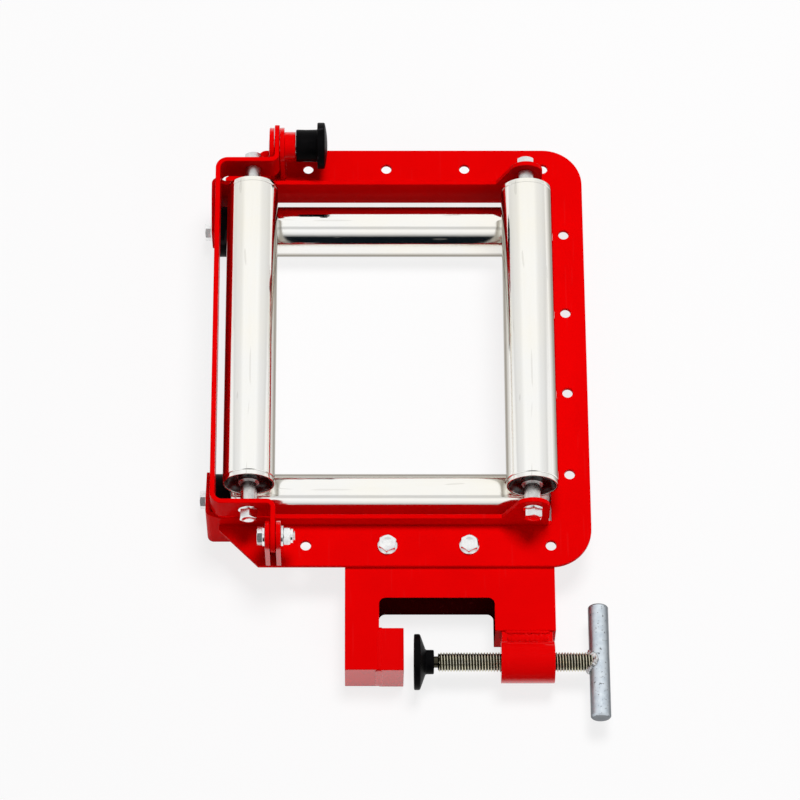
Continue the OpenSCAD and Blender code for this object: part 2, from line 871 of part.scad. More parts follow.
module hinge_washers() {
    color(zinc) at_hinge() {
        ring(bolt_flange_r, bolt_hole_r, hinge_head_x, hinge_head_x + washer_t);
        ring(bolt_flange_r, bolt_hole_r, hinge_nut_x - washer_t, hinge_nut_x);
    }
}

module hinge_nut() {
    color(zinc) at_hinge() translate([0, 0, hinge_nut_x]) hex_nut(nut_h);
}

// ---- gate ----

// Outline of half the strap in X and Y, up to the start of its eye
module strap_half_outline(half_h, eye_bend_x) {
    r = strap_corner_r;
    t = strap_t;
    translate([-strap_left, -eps]) square([t, half_h - r + eps]);
    translate([-strap_left + r, half_h - t]) square([strap_left - r + eye_bend_x, t]);
    translate([-strap_left + r, half_h - r]) intersection() {
        difference() {
            circle(r = r);
            circle(r = r - t);
        }
        translate([-r - eps, 0]) square([r + eps, r + eps]);
    }
    // bend outwards into the eye
    translate([eye_bend_x, half_h + eye_bend_r]) intersection() {
        difference() {
            circle(r = eye_bend_r + t);
            circle(r = eye_bend_r);
        }
        translate([0, -eye_bend_r - t - eps]) square([eye_bend_r + t + eps, eye_bend_r + t + eps]);
    }
}

// One arm of the strap with its eye; y and past give the hole and the eye's round end
module strap_half(half_h, y, past, bore_r) {
    eye_bend_x = eye_x - eye_bend_r;
    half_w = strap_w / 2;
    difference() {
        union() {
            translate([0, 0, strap_z - half_w])
                linear_extrude(strap_w) strap_half_outline(half_h, eye_bend_x);
            sheet_yz(eye_x, eye_x + strap_t)
                translate([half_h + eye_bend_r, strap_z - half_w])
                    square([y + past - half_h - eye_bend_r, strap_w]);
            translate([eye_x, y + past, strap_z]) along_x() drum(half_w, 0, strap_t);
        }
        translate([eye_x, y, strap_z]) along_x() drum(bore_r, -eps, strap_t + eps);
        translate([-left_x, half_h + eps, strap_z])
            rotate([90, 0, 0]) drum(bolt_hole_r, 0, strap_t + 2 * eps);
    }
}

module gate_strap() {
    color(red) {
        strap_half(strap_half_h, latch_y, latch_eye_past, pin_r + running_fit);
        mirror([0, 1, 0]) strap_half(strap_half_h - strap_rise, -hinge_y, 0, bolt_r + running_fit);
    }
}

// ---- rollers ----

module right_roller_tube() { roller_tube(right_axis, vertical_tube); }
module right_end_cups() { end_cups(right_axis, vertical_tube); }
module right_outer_races() { outer_races(right_axis, vertical_tube); }
module right_bearing_balls() { bearing_balls(right_axis, vertical_tube); }
module right_inner_races() { inner_races(right_axis, vertical_tube); }
module right_spindle() { roller_spindle(right_axis, 2 * flange_inner); }
module right_axle_bolts() { roller_bolts(right_axis, 2 * flange_inner, sheet_t, tall_head_h); }

module left_roller_tube() { roller_tube(left_axis, vertical_tube); }
module left_end_cups() { end_cups(left_axis, vertical_tube); }
module left_outer_races() { outer_races(left_axis, vertical_tube); }
module left_bearing_balls() { bearing_balls(left_axis, vertical_tube); }
module left_inner_races() { inner_races(left_axis, vertical_tube); }
module left_spindle() { roller_spindle(left_axis, left_span); }
module left_axle_bolts() { roller_bolts(left_axis, left_span, strap_t, tall_head_h); }

module top_roller_tube() { roller_tube(top_axis, horizontal_tube); }
module top_end_cups() { end_cups(top_axis, horizontal_tube); }
module top_outer_races() { outer_races(top_axis, horizontal_tube); }
module top_bearing_balls() { bearing_balls(top_axis, horizontal_tube); }
module top_inner_races() { inner_races(top_axis, horizontal_tube); }
module top_spindle() { roller_spindle(top_axis, spindle_span); }
module top_axle_bolts() { roller_bolts(top_axis, spindle_span, sheet_t, bolt_head_h); }

module bottom_roller_tube() { roller_tube(bottom_axis, horizontal_tube); }
module bottom_end_cups() { end_cups(bottom_axis, horizontal_tube); }
module bottom_outer_races() { outer_races(bottom_axis, horizontal_tube); }
module bottom_bearing_balls() { bearing_balls(bottom_axis, horizontal_tube); }
module bottom_inner_races() { inner_races(bottom_axis, horizontal_tube); }
module bottom_spindle() { roller_spindle(bottom_axis, spindle_span); }
module bottom_axle_bolts() { roller_bolts(bottom_axis, spindle_span, sheet_t, bolt_head_h); }

// ---- latch plunger ----

module latch_pin() {
    color(steel) at_latch() {
        drum(pin_r, pin_tip, collar_start + eps);
        drum(chamber_r - face_gap, collar_start, collar_start + collar_t);
        drum(stem_r, collar_start, stem_end);
    }
}

module pull_knob() {
    dome_r = (pow(knob_flange_d / 2, 2) + pow(knob_dome_h, 2)) / (2 * knob_dome_h);
    color(black) at_latch() difference() {
        union() {
            drum(knob_d / 2, knob_start, knob_flange_start + eps);
            drum(knob_flange_d / 2, knob_flange_start, knob_end - knob_dome_h);
            intersection() {
                translate([0, 0, knob_end - dome_r]) sphere(r = dome_r, $fn = 128);
                drum(knob_flange_d / 2, knob_end - knob_dome_h - eps, knob_end + eps);
            }
        }
        drum(sleeve_r + face_gap, knob_start - eps, sleeve_end + face_gap);
        drum(stem_r, knob_start, stem_end);
    }
}

// ---- clamp screw ----

module clamp_pad() {
    rim_r = pad_d / 2;
    hub_r = pad_hub_d / 2;
    cone_end = pad_face + pad_rim_t + pad_cone_l;
    color(black) at_screw() difference() {
        rotate_extrude() polygon([
            [0, pad_face], [rim_r, pad_face], [rim_r, pad_face + pad_rim_t],
            [hub_r, cone_end], [hub_r, pad_end], [0, pad_end]
        ]);
        translate([0, 0, ball_end_x]) sphere(r = ball_end_r + face_gap);
        drum(neck_r + face_gap, ball_end_x, pad_end + eps);
    }
}

module clamp_screw() {
    color(zinc) at_screw() {
        translate([0, 0, ball_end_x]) sphere(r = ball_end_r);
        drum(neck_r, ball_end_x, thread_start + eps);
        drum(screw_r, thread_start, tee_x - tee_d / 2);
    }
}

module tee_bar() {
    r = tee_d / 2;
    half = tee_l / 2;
    color(grey_zinc) translate([tee_x, screw_y, screw_z]) rotate([90, 0, 0])
        rotate_extrude() polygon([
            [0, -half], [r - tee_chamfer, -half], [r, -half + tee_chamfer],
            [r, half - tee_chamfer], [r - tee_chamfer, half], [0, half]
        ]);
}

face_plate();
top_flange();
bottom_flange();
side_flange();
ear_spacers();
hinge_lugs();
latch_lugs();
latch_boss();
plunger_sleeve();
plunger_spring();
clamp_bracket();
clamp_jaw();
clamp_boss();
clamp_bolts();
clamp_washers();
clamp_nuts();
hinge_bolt();
hinge_washers();
hinge_nut();
gate_strap();
right_roller_tube();
right_end_cups();
right_outer_races();
right_bearing_balls();
right_inner_races();
right_spindle();
right_axle_bolts();
left_roller_tube();
left_end_cups();
left_outer_races();
left_bearing_balls();
left_inner_races();
left_spindle();
left_axle_bolts();
top_roller_tube();
top_end_cups();
top_outer_races();
top_bearing_balls();
top_inner_races();
top_spindle();
top_axle_bolts();
bottom_roller_tube();
bottom_end_cups();
bottom_outer_races();
bottom_bearing_balls();
bottom_inner_races();
bottom_spindle();
bottom_axle_bolts();
latch_pin();
pull_knob();
clamp_pad();
clamp_screw();
tee_bar();
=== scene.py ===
import json
import math

import bmesh
import bpy
from mathutils import Matrix, Vector, noise

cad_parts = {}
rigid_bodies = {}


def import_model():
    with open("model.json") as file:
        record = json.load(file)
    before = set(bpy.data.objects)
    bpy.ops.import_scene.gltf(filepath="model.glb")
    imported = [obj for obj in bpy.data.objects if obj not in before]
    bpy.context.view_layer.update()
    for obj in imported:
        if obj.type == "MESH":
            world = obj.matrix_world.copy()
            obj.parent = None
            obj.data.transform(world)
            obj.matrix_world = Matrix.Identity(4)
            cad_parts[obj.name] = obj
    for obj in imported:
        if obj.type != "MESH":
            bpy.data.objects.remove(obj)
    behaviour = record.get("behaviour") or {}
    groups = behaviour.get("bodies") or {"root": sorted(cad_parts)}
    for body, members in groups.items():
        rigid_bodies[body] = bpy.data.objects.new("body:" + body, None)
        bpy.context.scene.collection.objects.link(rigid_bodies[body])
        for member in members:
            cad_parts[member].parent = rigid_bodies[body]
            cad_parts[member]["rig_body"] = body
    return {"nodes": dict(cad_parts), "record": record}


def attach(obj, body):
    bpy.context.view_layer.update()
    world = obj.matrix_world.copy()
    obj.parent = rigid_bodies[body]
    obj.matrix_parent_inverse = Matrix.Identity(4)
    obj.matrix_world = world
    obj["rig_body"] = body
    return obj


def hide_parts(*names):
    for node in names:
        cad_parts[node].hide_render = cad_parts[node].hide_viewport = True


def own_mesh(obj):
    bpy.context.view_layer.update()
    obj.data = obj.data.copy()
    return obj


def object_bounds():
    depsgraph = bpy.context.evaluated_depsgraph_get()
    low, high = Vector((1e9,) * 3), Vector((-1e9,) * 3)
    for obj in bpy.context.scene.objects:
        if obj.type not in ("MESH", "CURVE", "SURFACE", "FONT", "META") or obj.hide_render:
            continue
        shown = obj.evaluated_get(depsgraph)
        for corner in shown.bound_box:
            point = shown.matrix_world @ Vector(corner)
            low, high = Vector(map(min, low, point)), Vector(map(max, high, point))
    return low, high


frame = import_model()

scene = bpy.context.scene
cadLow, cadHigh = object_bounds()
mm = 0.001
slotOf = {part["node"]: part["material_slot"] for part in frame["record"]["subparts"]}

# Camera, floor and light

camera = {
    "location": (-0.039889, -1.082749, 2.139873),
    "tilt": 26.129,  # degrees from straight down
    "lens": 172.28,
    "sensor": 36,
    "shiftX": 0.0461,
    "clip": (0.05, 50),
}

studio = {
    "floorSize": 9.0,
    "floorColour": (0.86, 0.84, 0.85),
    "floorGlow": 0.80,  # how far the camera and bright metal see the floor as plain white
    "skyLight": 0.22,  # light from all round
    # what bright metal mirrors: levels of white, as pairs of place and level
    "mirrorSides": [  # along X, both ways
        (0.45, 1.0), (0.62, 0.87), (0.80, 0.81), (0.87, 0.73), (0.90, 0.95)],
    "mirrorBand": [(0.04, 1.0), (0.09, 0.68), (0.25, 0.68), (0.33, 1.0)],  # along -Y
    "mirrorDark": (0.003, 0.006, 0.009),  # the dark part of the room
    "darkHeight": [  # its extent along Z
        (0.0, 0.0), (0.01, 1.0), (0.62, 1.0), (0.80, 0.2), (0.90, 0.0)],
    "darkDepth": [(0.08, 0.0), (0.30, 1.0)],  # along -Y
    "darkWidth": [(0.14, 1.0), (0.34, 0.0)],  # along X, both ways
    "keyPower": 42.0,
    "keySize": 0.8,
    "keyPlace": (0.25, 0.45, 2.2),
    "fillPower": 5.2,
    "fillSize": 1.0,
    "fillPlace": (0.9, -1.7, 1.1),
}


def makeCamera():
    data = bpy.data.cameras.new("camera")
    data.lens = camera["lens"]
    data.sensor_width = camera["sensor"]
    data.shift_x = camera["shiftX"]
    data.clip_start, data.clip_end = camera["clip"]
    view = bpy.data.objects.new("camera", data)
    view.location = camera["location"]
    view.rotation_euler = (math.radians(camera["tilt"]), 0, 0)
    scene.collection.objects.link(view)
    scene.camera = view


def setInputs(node, values):
    for name, value in values.items():
        node.inputs[name].default_value = value


def addNode(tree, kind, values=None, **settings):
    node = tree.nodes.new(kind)
    for name, value in settings.items():
        setattr(node, name, value)
    setInputs(node, values or {})
    return node


def ramp(tree, value, stops):  # grey levels along a value, as pairs of place and level
    node = addNode(tree, "ShaderNodeValToRGB")
    node.color_ramp.elements.remove(node.color_ramp.elements[1])
    for index, (at, level) in enumerate(stops):
        stop = node.color_ramp.elements[0] if index == 0 else node.color_ramp.elements.new(at)
        stop.position = at
        stop.color = (level, level, level, 1)
    tree.links.new(value, node.inputs["Fac"])
    return node.outputs["Color"]


def makeWorld():
    world = bpy.data.worlds.new("studio")
    scene.world = world
    world.use_nodes = True
    tree = world.node_tree
    tree.nodes.clear()
    out = addNode(tree, "ShaderNodeOutputWorld")
    white = addNode(tree, "ShaderNodeBackground", {"Color": (1, 1, 1, 1), "Strength": 1.0})
    around = addNode(tree, "ShaderNodeBackground",
                     {"Color": (1, 1, 1, 1), "Strength": studio["skyLight"]})
    mirrored = addNode(tree, "ShaderNodeBackground", {"Strength": 1.0})
    path = addNode(tree, "ShaderNodeLightPath")
    forGlossy = addNode(tree, "ShaderNodeMixShader")
    forCamera = addNode(tree, "ShaderNodeMixShader")
    place = addNode(tree, "ShaderNodeTexCoord")
    split = addNode(tree, "ShaderNodeSeparateXYZ")
    tree.links.new(place.outputs["Generated"], split.inputs["Vector"])
    # the room is dark low down on the side where y is negative
    turned = addNode(tree, "ShaderNodeMath", {1: -1.0}, operation="MULTIPLY")
    sideways = addNode(tree, "ShaderNodeMath", operation="ABSOLUTE")
    tree.links.new(split.outputs["Y"], turned.inputs[0])
    tree.links.new(split.outputs["X"], sideways.inputs[0])
    near, aside = turned.outputs["Value"], sideways.outputs["Value"]

    def times(first, second):
        node = addNode(tree, "ShaderNodeMath", operation="MULTIPLY")
        tree.links.new(first, node.inputs[0])
        tree.links.new(second, node.inputs[1])
        return node.outputs["Value"]

    shade = times(ramp(tree, split.outputs["Z"], studio["darkHeight"]),
                  ramp(tree, near, studio["darkDepth"]))
    shade = times(shade, ramp(tree, aside, studio["darkWidth"]))
    sky = times(ramp(tree, aside, studio["mirrorSides"]), ramp(tree, near, studio["mirrorBand"]))
    colour = addNode(tree, "ShaderNodeMix", data_type="RGBA")
    colour.inputs[7].default_value = (*studio["mirrorDark"], 1)
    tree.links.new(sky, colour.inputs[6])
    tree.links.new(shade, colour.inputs[0])
    tree.links.new(colour.outputs[2], mirrored.inputs["Color"])
    tree.links.new(path.outputs["Is Glossy Ray"], forGlossy.inputs["Fac"])
    tree.links.new(around.outputs["Background"], forGlossy.inputs[1])
    tree.links.new(mirrored.outputs["Background"], forGlossy.inputs[2])
    tree.links.new(path.outputs["Is Camera Ray"], forCamera.inputs["Fac"])
    tree.links.new(forGlossy.outputs["Shader"], forCamera.inputs[1])
    tree.links.new(white.outputs["Background"], forCamera.inputs[2])
    tree.links.new(forCamera.outputs["Shader"], out.inputs["Surface"])


def makeFloor():
    half = studio["floorSize"] / 2
    mesh = bpy.data.meshes.new("floor")
    corners = [(-half, -half), (half, -half), (half, half), (-half, half)]
    mesh.from_pydata([(x, y, cadLow.z) for x, y in corners], [], [(0, 1, 2, 3)])
    floor = bpy.data.objects.new("floor", mesh)
    scene.collection.objects.link(floor)
    surface = bpy.data.materials.new("floorPaper")
    surface.use_nodes = True
    tree = surface.node_tree
    tree.nodes.clear()
    out = addNode(tree, "ShaderNodeOutputMaterial")
    paper = addNode(tree, "ShaderNodeBsdfDiffuse", {"Color": (*studio["floorColour"], 1)})
    glow = addNode(tree, "ShaderNodeEmission", {"Color": (1, 1, 1, 1), "Strength": 1.0})
    path = addNode(tree, "ShaderNodeLightPath")
    seen = addNode(tree, "ShaderNodeMath", operation="MAXIMUM")
    share = addNode(tree, "ShaderNodeMath", {1: studio["floorGlow"]}, operation="MULTIPLY")
    mixer = addNode(tree, "ShaderNodeMixShader")
    tree.links.new(path.outputs["Is Camera Ray"], seen.inputs[0])
    tree.links.new(path.outputs["Is Glossy Ray"], seen.inputs[1])
    tree.links.new(seen.outputs["Value"], share.inputs[0])
    tree.links.new(share.outputs["Value"], mixer.inputs["Fac"])
    tree.links.new(paper.outputs["BSDF"], mixer.inputs[1])
    tree.links.new(glow.outputs["Emission"], mixer.inputs[2])
    tree.links.new(mixer.outputs["Shader"], out.inputs["Surface"])
    mesh.materials.append(surface)


def makeLamp(name, place, size, power):
    data = bpy.data.lights.new(name, "AREA")
    data.shape = "SQUARE"
    data.size = size
    data.energy = power
    lamp = bpy.data.objects.new(name, data)
    lamp.location = place
    lamp.visible_glossy = False
    lamp.rotation_euler = (-Vector(place)).to_track_quat("-Z", "Y").to_euler()
    scene.collection.objects.link(lamp)


makeCamera()
makeWorld()
makeFloor()
makeLamp("keyLamp", studio["keyPlace"], studio["keySize"], studio["keyPower"])
makeLamp("fillLamp", studio["fillPlace"], studio["fillSize"], studio["fillPower"])
scene.view_settings.view_transform = "Standard"
print("studio ready")

# Effects that several materials share


def startGroup(name, inputs, outputs):
    group = bpy.data.node_groups.new(name, "ShaderNodeTree")
    for label, kind, value in inputs:
        socket = group.interface.new_socket(label, in_out="INPUT", socket_type=kind)
        if value is not None:
            socket.default_value = value
    for label, kind in outputs:
        group.interface.new_socket(label, in_out="OUTPUT", socket_type=kind)
    return group, addNode(group, "NodeGroupInput"), addNode(group, "NodeGroupOutput")


def mottleGroup():  # soft cloudy variation, 0 to 1
    group, start, end = startGroup(
        "mottle",
        [("Vector", "NodeSocketVector", None), ("Scale", "NodeSocketFloat", 40.0),
         ("Contrast", "NodeSocketFloat", 1.0)],
        [("Value", "NodeSocketFloat")],
    )
    clouds = addNode(group, "ShaderNodeTexNoise", {"Detail": 5.0, "Roughness": 0.62})
    spread = addNode(group, "ShaderNodeMapRange", {"From Min": 0.32, "From Max": 0.68})
    blend = addNode(group, "ShaderNodeMix", {2: 0.5}, data_type="FLOAT")
    group.links.new(start.outputs["Vector"], clouds.inputs["Vector"])
    group.links.new(start.outputs["Scale"], clouds.inputs["Scale"])
    group.links.new(clouds.outputs["Fac"], spread.inputs["Value"])
    group.links.new(start.outputs["Contrast"], blend.inputs[0])
    group.links.new(spread.outputs["Result"], blend.inputs[3])
    group.links.new(blend.outputs[0], end.inputs["Value"])
    return group


def scratchGroup():  # thin random lines in two directions
    group, start, end = startGroup(
        "scratches",
        [("Vector", "NodeSocketVector", None), ("Scale", "NodeSocketFloat", 60.0),
         ("Amount", "NodeSocketFloat", 0.5)],
        [("Mask", "NodeSocketFloat")],
    )
    total = None
    for turn, stretch in ((0.5, 0.035), (2.1, 0.05)):
        place = addNode(group, "ShaderNodeMapping")
        place.inputs["Rotation"].default_value = (turn * 0.3, turn * 0.2, turn)
        place.inputs["Scale"].default_value = (1.0, stretch, 0.4)
        lines = addNode(group, "ShaderNodeTexNoise",
                        {"Detail": 1.0, "Roughness": 0.4, "Distortion": 0.2})
        thin = addNode(group, "ShaderNodeMapRange", {"From Min": 0.715, "From Max": 0.74})
        group.links.new(start.outputs["Vector"], place.inputs["Vector"])
        group.links.new(place.outputs["Vector"], lines.inputs["Vector"])
        group.links.new(start.outputs["Scale"], lines.inputs["Scale"])
        group.links.new(lines.outputs["Fac"], thin.inputs["Value"])
        if total is None:
            total = thin.outputs["Result"]
        else:
            both = addNode(group, "ShaderNodeMath", operation="MAXIMUM")
            group.links.new(total, both.inputs[0])
            group.links.new(thin.outputs["Result"], both.inputs[1])
            total = both.outputs["Value"]
    amount = addNode(group, "ShaderNodeMath", operation="MULTIPLY")
    group.links.new(total, amount.inputs[0])
    group.links.new(start.outputs["Amount"], amount.inputs[1])
    group.links.new(amount.outputs["Value"], end.inputs["Mask"])
    return group


def edgeWearGroup():  # broken mask along outer edges
    group, start, end = startGroup(
        "edgeWear",
        [("Vector", "NodeSocketVector", None), ("Scale", "NodeSocketFloat", 300.0),
         ("Sharpness", "NodeSocketFloat", 0.56), ("Amount", "NodeSocketFloat", 0.6)],
        [("Mask", "NodeSocketFloat")],
    )
    shape = addNode(group, "ShaderNodeNewGeometry")
    edge = addNode(group, "ShaderNodeMapRange", {"From Max": 0.66})
    patches = addNode(group, "ShaderNodeTexNoise", {"Detail": 4.0, "Roughness": 0.7})
    chips = addNode(group, "ShaderNodeMapRange", {"From Min": 0.50, "From Max": 0.58})
    both = addNode(group, "ShaderNodeMath", operation="MULTIPLY")
    amount = addNode(group, "ShaderNodeMath", operation="MULTIPLY")
    group.links.new(shape.outputs["Pointiness"], edge.inputs["Value"])
    group.links.new(start.outputs["Sharpness"], edge.inputs["From Min"])
    group.links.new(start.outputs["Vector"], patches.inputs["Vector"])
    group.links.new(start.outputs["Scale"], patches.inputs["Scale"])
    group.links.new(patches.outputs["Fac"], chips.inputs["Value"])
    group.links.new(edge.outputs["Result"], both.inputs[0])
    group.links.new(chips.outputs["Result"], both.inputs[1])
    group.links.new(both.outputs["Value"], amount.inputs[0])
    group.links.new(start.outputs["Amount"], amount.inputs[1])
    group.links.new(amount.outputs["Value"], end.inputs["Mask"])
    return group


groups = {"mottle": mottleGroup(), "scratches": scratchGroup(), "edgeWear": edgeWearGroup()}
print("effect groups ready")

# Materials


class Finish:  # one Principled material with its helper wiring
    def __init__(self, name, **values):
        self.material = bpy.data.materials.new(name)
        self.material.use_nodes = True
        self.tree = self.material.node_tree
        self.shader = self.tree.nodes["Principled BSDF"]
        setInputs(self.shader, values)
        self.place = addNode(self.tree, "ShaderNodeTexCoord").outputs["Object"]

    def link(self, source, target):
        self.tree.links.new(source, target)

    def group(self, name, vector=None, **values):
        node = addNode(self.tree, "ShaderNodeGroup", node_tree=groups[name])
        setInputs(node, values)
        self.link(vector or self.place, node.inputs["Vector"])
        return node.outputs[0]

    def stretched(self, scale):
        node = addNode(self.tree, "ShaderNodeMapping")
        node.inputs["Scale"].default_value = scale
        self.link(self.place, node.inputs["Vector"])
        return node.outputs["Vector"]

    def noise(self, scale, detail=3.0, vector=None):
        node = addNode(self.tree, "ShaderNodeTexNoise", {"Scale": scale, "Detail": detail})
        self.link(vector or self.place, node.inputs["Vector"])
        return node.outputs["Fac"]

    def mixColour(self, mask, first, second):
        node = addNode(self.tree, "ShaderNodeMix", data_type="RGBA")
        for value, socket in ((first, node.inputs[6]), (second, node.inputs[7])):
            if isinstance(value, tuple):
                socket.default_value = (*value, 1)
            else:
                self.link(value, socket)
        self.link(mask, node.inputs[0])
        return node.outputs[2]

    def remap(self, value, low, high, fromLow=0.0, fromHigh=1.0):
        node = addNode(self.tree, "ShaderNodeMapRange",
                       {"From Min": fromLow, "From Max": fromHigh, "To Min": low, "To Max": high})
        self.link(value, node.inputs["Value"])
        return node.outputs["Result"]

    def math(self, operation, first, second):
        node = addNode(self.tree, "ShaderNodeMath", operation=operation)
        for value, socket in ((first, node.inputs[0]), (second, node.inputs[1])):
            if isinstance(value, (int, float)):
                socket.default_value = value
            else:
                self.link(value, socket)
        return node.outputs["Value"]

    def slant(self):  # 0 where the surface faces the viewer, 1 at its limb
        return addNode(self.tree, "ShaderNodeLayerWeight", {"Blend": 0.5}).outputs["Facing"]

    def bump(self, height, strength, distance, normal=None):
        node = addNode(self.tree, "ShaderNodeBump", {"Strength": strength, "Distance": distance})
        self.link(height, node.inputs["Height"])
        if normal:
            self.link(normal, node.inputs["Normal"])
        return node.outputs["Normal"]

    def use(self, **sockets):
        for name, value in sockets.items():
            self.link(value, self.shader.inputs[name.replace("_", " ")])


redPaint = {
    "colours": ((0.78, 0.0004, 0.0008), (0.63, 0.0003, 0.0006)),
    "paintedShadeColours": ((0.03, 0.0003, 0.0004), (0.03, 0.0003, 0.0004)),  # painted shade inside the clamp's notch
    "scuff": (0.9, 0.12, 0.12),
    "coatIor": 1.7,
    "coatRoughness": 0.07,
    "gloss": (0.20, 0.32),
    "flop": (0.34, 0.58),  # slant at which the clear coat starts and stops to grow
    "coatEnds": (-0.2, -0.19),  # Y up to which the coat is full, and from which coat is its share
}


def makeRedPaint(name, colours, coat, shine):  # the clamp's far ends have the full clear coat
    look = Finish(name, **{"Specular IOR Level": shine, "Coat IOR": redPaint["coatIor"],
                           "Coat Roughness": redPaint["coatRoughness"]})
    clouds = look.group("mottle", Scale=26.0, Contrast=0.8)
    marks = look.group("scratches", Scale=520.0, Amount=0.06)
    body = look.mixColour(look.remap(clouds, 0.0, 0.5), *colours)
    body = look.mixColour(look.remap(marks, 0.0, 0.4), body, redPaint["scuff"])
    peel = look.noise(520.0, 2.0)
    dust = look.noise(2600.0, 2.0)
    slant = look.slant()
    split = addNode(look.tree, "ShaderNodeSeparateXYZ")
    look.link(look.place, split.inputs["Vector"])
    most = look.remap(split.outputs["Y"], 1.0, coat, *redPaint["coatEnds"])
    ripple = look.bump(peel, 0.10, 0.0006)
    look.use(Base_Color=body, Roughness=look.remap(clouds, *redPaint["gloss"]),
             Coat_Weight=look.math("MULTIPLY", look.remap(slant, 0.0, 1.0, *redPaint["flop"]), most),
             Normal=look.bump(dust, 0.05, 0.0002, ripple))
    return look.material


zincTube = {
    "pale": (0.985, 0.97, 0.92),
    "yellow": (0.93, 0.895, 0.79),
    "blue": (0.92, 0.93, 0.94),
    "paintedLimbReflection": (0.16, 0.13, 0.08),
    "mark": (0.50, 0.48, 0.42),
    "limb": (0.43, 0.66),  # slant at which the painted dark limb reflection starts and is full
    "roughness": (0.06, 0.12),
    "markRoughness": 0.25,
}


def makeZincTube():  # its grain runs along Z
    look = Finish("zincTube", Metallic=1.0)
    clouds = look.group("mottle", look.stretched((1.0, 1.0, 0.06)), Scale=60.0, Contrast=1.0)
    patches = look.group("mottle", Scale=22.0, Contrast=1.0)
    streaks = look.noise(900.0, 3.0, look.stretched((1.0, 1.0, 0.02)))
    marks = look.group("scratches", look.stretched((1.0, 1.0, 0.3)), Scale=260.0, Amount=0.5)
    body = look.mixColour(look.remap(clouds, 0.0, 0.75), zincTube["pale"], zincTube["yellow"])
    body = look.mixColour(look.remap(patches, 0.0, 0.55), body, zincTube["blue"])
    # painted reflection: the tube turns dark brown towards its limb, by its slant to the viewer
    limb = look.remap(look.slant(), 0.0, 0.9, *zincTube["limb"])
    body = look.mixColour(limb, body, zincTube["paintedLimbReflection"])
    body = look.mixColour(look.remap(marks, 0.0, 0.4), body, zincTube["mark"])
    rough = look.math("ADD", look.remap(streaks, *zincTube["roughness"]),
                      look.math("MULTIPLY", marks, zincTube["markRoughness"]))
    fine = look.bump(streaks, 0.05, 0.0002)
    look.use(Base_Color=body, Roughness=rough, Normal=look.bump(patches, 0.04, 0.0008, fine))
    return look.material


plainMetals = {
    "zinc_hardware": {
        "name": "zincHardware", "pale": (0.97, 0.97, 0.95), "dark": (0.78, 0.79, 0.80),
        "roughness": (0.12, 0.26), "scale": 160.0},
    "steel": {
        "name": "turnedSteel", "pale": (0.74, 0.73, 0.71), "dark": (0.56, 0.56, 0.56),
        "roughness": (0.20, 0.36), "scale": 150.0},
    "cup_steel": {
        "name": "pressedSteel", "pale": (0.10, 0.10, 0.10), "dark": (0.03, 0.03, 0.03),
        "roughness": (0.18, 0.34), "scale": 150.0, "wear": 0.6, "worn": (0.95, 0.95, 0.95)},
    "weld_metal": {
        "name": "weldMetal", "pale": (0.85, 0.85, 0.85), "dark": (0.22, 0.22, 0.23),
        "roughness": (0.18, 0.40), "scale": 400.0},
}


def makePlainMetal(metal):
    look = Finish(metal["name"], Metallic=1.0)
    scale = metal["scale"]
    clouds = look.group("mottle", Scale=scale, Contrast=1.0)
    marks = look.group("scratches", Scale=scale * 2.4, Amount=0.5)
    body = look.mixColour(look.remap(clouds, 0.0, 1.0), metal["pale"], metal["dark"])
    if "wear" in metal:
        worn = look.group("edgeWear", Scale=500.0, Sharpness=0.55, Amount=metal["wear"])
        body = look.mixColour(worn, body, metal["worn"])
    rough = look.math("ADD", look.remap(clouds, *metal["roughness"]), look.math("MULTIPLY", marks, 0.2))
    grain = look.bump(look.noise(scale * 14), 0.06, 0.0003)
    look.use(Base_Color=body, Roughness=rough, Normal=grain)
    return look.material


yellowZinc = {
    "pale": (0.90, 0.85, 0.62),
    "grey": (0.70, 0.70, 0.62),
    "grooveDark": (0.05, 0.045, 0.03),
    "crest": (0.00515, 0.0058),  # radius at which the grooves' dark starts to fade and is gone
    "roughness": (0.16, 0.34),
}


def makeYellowZinc():  # for threads about Z: darker in the grooves, bright crests
    look = Finish("yellowZinc", Metallic=1.0)
    split = addNode(look.tree, "ShaderNodeSeparateXYZ")
    look.link(look.place, split.inputs["Vector"])
    across = look.math("MULTIPLY", split.outputs["X"], split.outputs["X"])
    along = look.math("MULTIPLY", split.outputs["Y"], split.outputs["Y"])
    radius = look.math("SQRT", look.math("ADD", across, along), 0.0)
    crest = look.remap(radius, 0.0, 1.0, *yellowZinc["crest"])
    clouds = look.group("mottle", Scale=180.0, Contrast=1.0)
    body = look.mixColour(look.remap(clouds, 0.0, 1.0), yellowZinc["pale"], yellowZinc["grey"])
    body = look.mixColour(crest, yellowZinc["grooveDark"], body)
    look.use(Base_Color=body, Roughness=look.remap(clouds, *yellowZinc["roughness"]))
    return look.material


galvanised = {
    "metallic": 0.85,
    "flakes": ((0.48, 0.56, 0.64), (0.74, 0.81, 0.87)),
    "cloud": (0.86, 0.92, 0.97),
    "pit": (0.13, 0.14, 0.15),
    "pits": (0.62, 0.70),  # level of the noise at which a pit starts and is full
    "paintedLimbShade": (0.10, 0.11, 0.12),
    "limb": (0.13, 0.50),  # slant at which the painted limb shade starts and is darkest
    "roughness": (0.30, 0.52),
}


